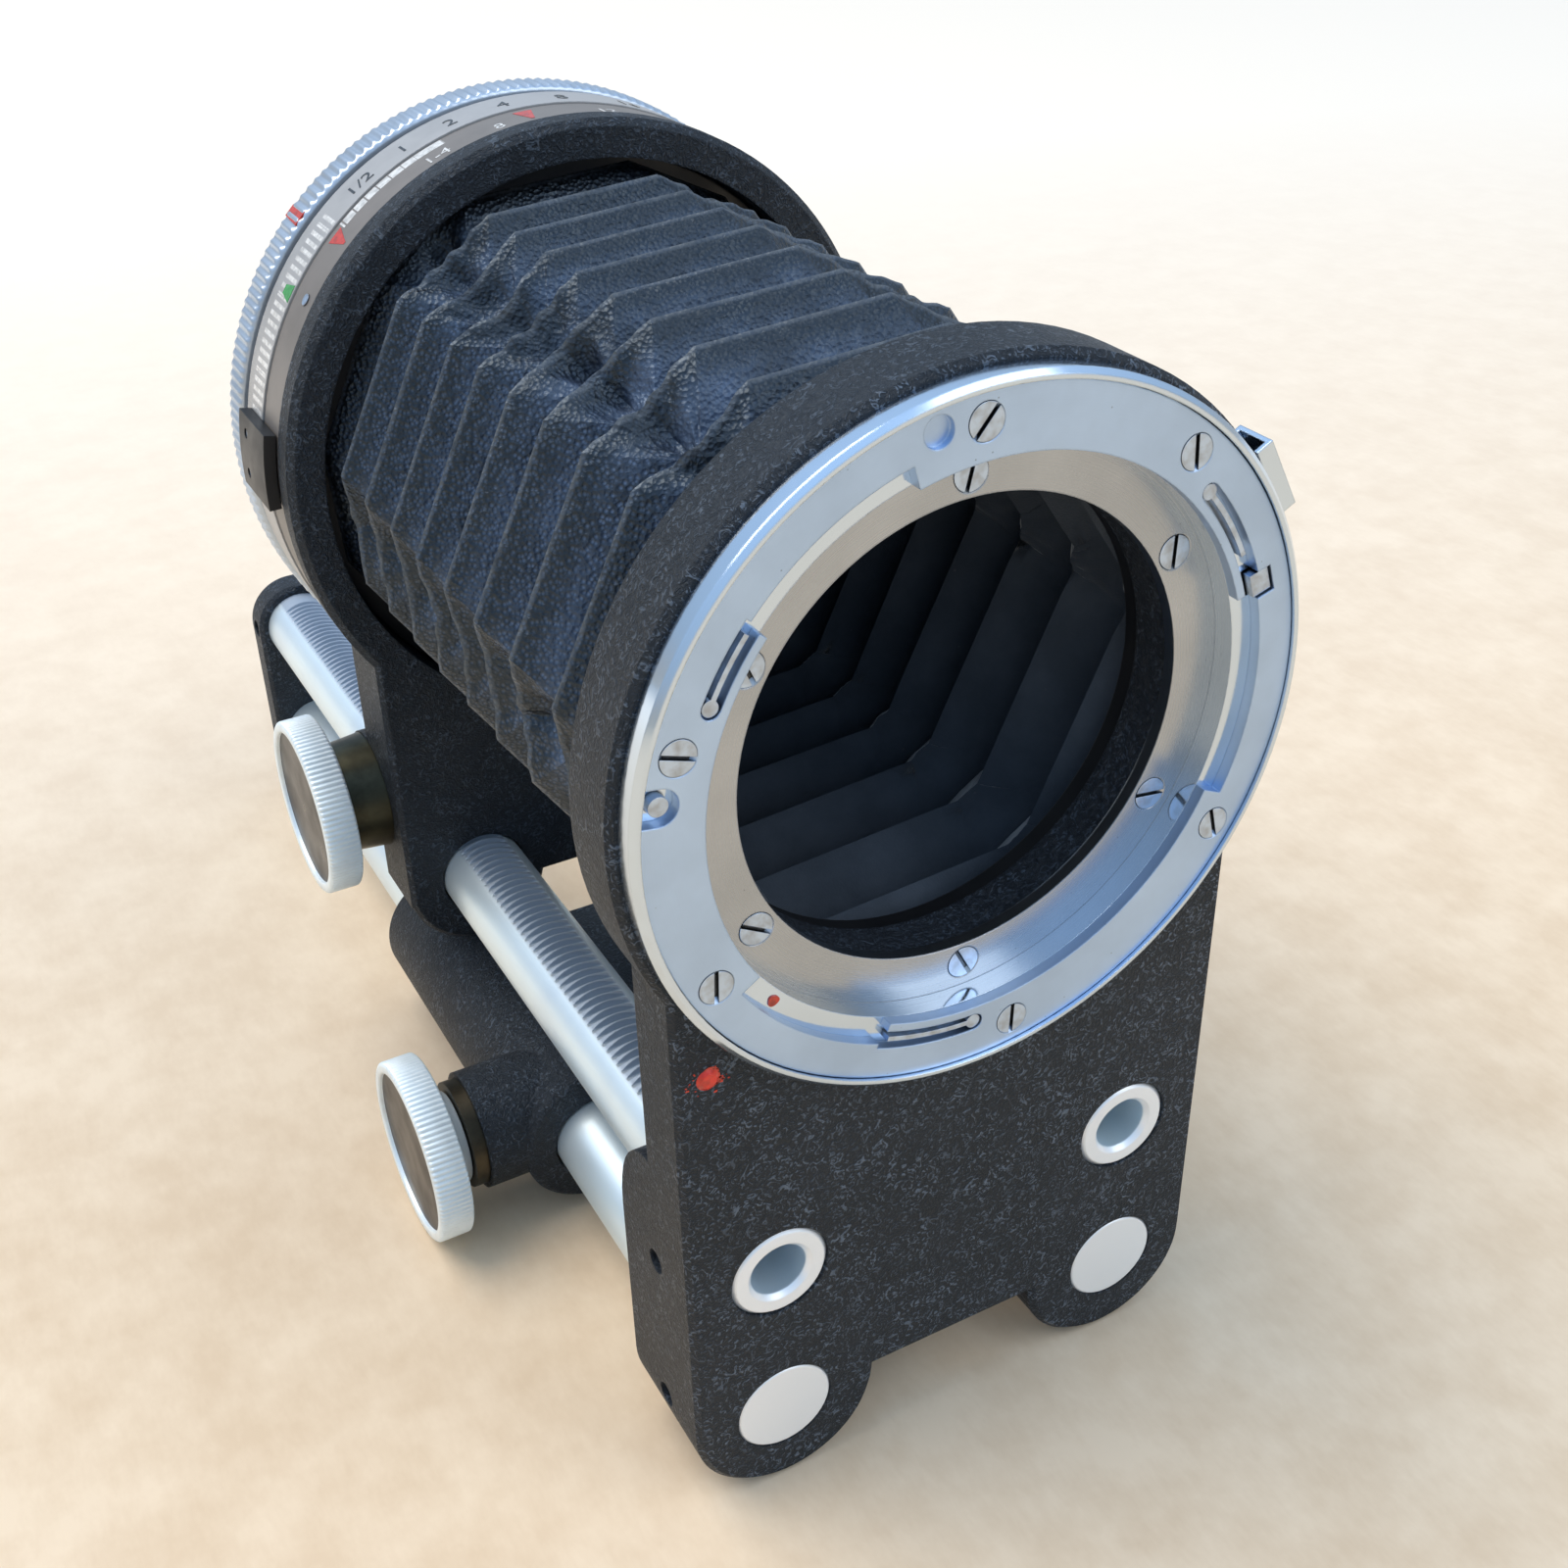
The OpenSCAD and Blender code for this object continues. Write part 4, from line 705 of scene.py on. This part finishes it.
def folded_skin():
    """The bellows. Along its length it swings from a ridge hexagon to a valley hexagon and back, as a
    sharp zigzag: it climbs to each ridge from the front, a little more steeply near the top. On the six
    cut corners the spare cloth is tucked in and crushed into flat-faced creases, most on the upper left."""
    flat_steps, corner_steps, along = 8, 30, 10
    ridge, valley = hexagon(36.9, 9.3), hexagon(29.4, 2.0)
    s = np.concatenate([k + np.linspace(0, 1, corner_steps if k % 2 == 0 else flat_steps, endpoint=False)
                        for k in range(12)])
    facet, part = np.floor(s + 1e-9).astype(int), (s % 1)[:, None]
    outer = ridge[facet] * (1 - part) + ridge[(facet + 1) % 12] * part
    inner = valley[facet] * (1 - part) + valley[(facet + 1) % 12] * part
    folds = len(FOLD_Y) - 1
    t = np.linspace(0, folds, folds * 2 * along + 1)
    y = np.interp(t, np.arange(folds + 1), FOLD_Y)
    depth = 1 - np.abs((t % 1) * 2 - 1)
    rise = np.where((t % 1) > 0.5, depth ** 1.25, depth ** 0.9)
    d = rise[:, None]
    mid = np.sin(np.pi * np.clip(depth, 0, 1))[:, None]
    on_corner = (facet % 2 == 0)[None, :]
    crushed = np.array([0.3, 0.7, 1.0, 0.8, 0.3, 0.15])[facet // 2][None, :]
    tucked = np.array([0.3, 0.7, 1.0, 0.85, 0.35, 0.2])[facet // 2][None, :]
    c = np.where(on_corner, np.sin(np.pi * part[:, 0])[None, :] ** 0.6, 0.0)
    edge = np.minimum(part[:, 0], 1 - part[:, 0])[None, :]
    beside = np.where(on_corner, 1.0, np.exp(-edge / 0.07))
    flat = outer[None] * (1 - d[..., None]) + inner[None] * d[..., None]
    radial = flat / np.linalg.norm(flat, axis=-1, keepdims=True)
    side = np.stack([-radial[..., 1], radial[..., 0]], -1)
    arc, run = s[None, :] * 1.9, t[:, None] * 6.0
    fold_id = np.floor(t + 0.5)[:, None]
    p = part[:, 0][None, :]
    slope = 0.25 + 0.75 * mid
    tuck = -3.0 * c * (1 - np.abs(2 * p - 1)) * slope * tucked
    crush = facets(arc * 2.2 + fold_id * 3.7, run * 0.75, 3, 6, 1.2, 3.6) * 0.75 * c * slope * crushed
    nip = facets(arc * 4.5 + fold_id * 1.9, run * 1.6, 17, 6, 1.5, 4.0) * 0.26 * c * crushed
    pucker = 0.13 * facets(arc * 3, run * 1.2, 5, 7, 1.5, 4.0) * beside * (0.2 + 0.8 * mid) * crushed
    slack = 0.10 * waves(arc, run * 0.7, 11, 12, 0.5, 2.2) * (0.2 + d)
    belly = 0.35 * mid * (1 - beside) * waves(arc * 0.3, fold_id * 2.3, 23, 6, 0.6, 1.6)
    ends = np.minimum(1, np.minimum(t, folds - t) / 0.3)[:, None]
    lift = (tuck + crush + nip + slack + pucker + belly) * ends
    xz = flat + radial * lift[..., None] + side * (pucker * 0.8 * ends)[..., None]
    bow = 0.4 * waves(arc * 0.35, fold_id * 1.7, 31, 6, 0.5, 1.5) * (1 - 0.6 * d)
    skew = 1.5 * c * crushed * np.sin(fold_id * 7.4 + facet[None, :]) * (1 - np.abs(2 * p - 1))
    points = np.stack([xz[..., 0], y[:, None] + (bow + skew) * ends, xz[..., 1]], -1) * MM
    piece = grid_mesh("bellows_skin", points, MATERIALS["bellows_cloth"], wrap_v=True, flip=True)
    climb = np.where((t % 1) > 0.5, 1.0, 0.0)[:, None]
    # Painted shade mask: strongest close to each ridge, on the slope that climbs to it from the front.
    near = np.exp(-(depth[:, None] / 0.46) ** 4) * (0.25 + 0.75 * climb) + 0 * arc
    crest = np.exp(-(depth[:, None] / 0.055) ** 2) + 0 * arc
    # Painted highlight mask: the left facets, and the corners a little, get lighter grain, weaker inside the
    # painted shade band.
    lit_left = np.isin(facet, (5, 6, 7))[None, :] * 1.0
    grain_highlight = np.clip(lit_left + 0.35 * on_corner, 0, 1) * (0.3 + 0.7 * (1 - near)) + 0 * depth[:, None]
    shade = np.stack([near, crest, grain_highlight, np.ones_like(near)], -1).reshape(-1, 4)
    piece.data.attributes.new("fold_light_and_dust", "FLOAT_COLOR", "POINT").data.foreach_set("color", shade.ravel())
    piece.data.set_sharp_from_angle(angle=math.radians(24))
    piece.data.materials.append(lining_cloth())
    wall = piece.modifiers.new("cloth", "SOLIDIFY")
    wall.thickness = 0.0006
    wall.offset = -1.0
    wall.material_offset = 1
    wall.material_offset_rim = 0
    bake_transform(piece)
    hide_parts("bellows")
    return piece


# ---- Stage and light ---------------------------------------------------------------------------

def lay_floor():
    """A wide flat sheet of paper under the feet, with more of it behind than in front."""
    half_width, behind = 9.0, 2.0
    u = np.linspace(-half_width, half_width, 41)
    points = np.stack(np.broadcast_arrays(u[None, :], u[:, None] + behind, FLOOR_Z), -1)
    floor = grid_mesh("floor", points, backdrop_paper())


def area_light(name, place, target, size, power, colour):
    """A round soft light at place that faces target."""
    data = bpy.data.lights.new(name, "AREA")
    data.shape, data.size, data.energy, data.color = "DISK", size, power, colour
    light = bpy.data.objects.new(name, data)
    direction = Vector(target) - Vector(place)
    light.matrix_world = Matrix.Translation(place) @ direction.to_track_quat("-Z", "Y").to_matrix().to_4x4()
    bpy.context.scene.collection.objects.link(light)


def light_stage():
    """Open shade: a broad warm key from high at the back left, a blue-white sky and a paper-coloured
    return from below."""
    middle = (0.0, 0.08, -0.03)
    area_light("key", (-1.15, 0.95, 2.6), middle, 2.6, 74.0, (1.0, 0.87, 0.72))
    area_light("fill", (1.5, -1.7, 1.9), middle, 2.2, 20.0, (1.0, 0.93, 0.84))
    bpy.context.scene.view_settings.view_transform = "Standard"
    world = bpy.data.worlds.new("surround")
    bpy.context.scene.world = world
    world.use_nodes = True
    tree = world.node_tree
    sky = tree.nodes["Background"]
    sky.inputs["Strength"].default_value = 1.0
    where = tree.nodes.new("ShaderNodeTexCoord")
    part = tree.nodes.new("ShaderNodeSeparateXYZ")
    ramp = tree.nodes.new("ShaderNodeValToRGB")
    tree.links.new(where.outputs["Generated"], part.inputs[0])
    tree.links.new(part.outputs[2], ramp.inputs[0])
    tree.links.new(ramp.outputs[0], sky.inputs["Color"])
    stops = ramp.color_ramp.elements
    stops[0].position, stops[0].color = 0.0, (0.47, 0.46, 0.44, 1)
    stops[1].position, stops[1].color = 0.8, (0.58, 0.79, 1.08, 1)
    low_sky = stops.new(0.18)
    low_sky.color = (0.42, 0.53, 0.66, 1)


# ---- Assembly ----------------------------------------------------------------------------------

place_camera()
for name, obj in NODES.items():
    if name != "bellows":
        wear(obj, finish_of(name))
folded_skin()
for name, neck_mm in (("drive_knob", 0.0), ("clamp_knob", 2.3)):
    fluted_knob(name, -1, neck_mm)
fluted_knob("lock_knob", 1, 0.0)
knurled_ring()
catch_coil()
ring_marks()
lay_floor()
light_stage()
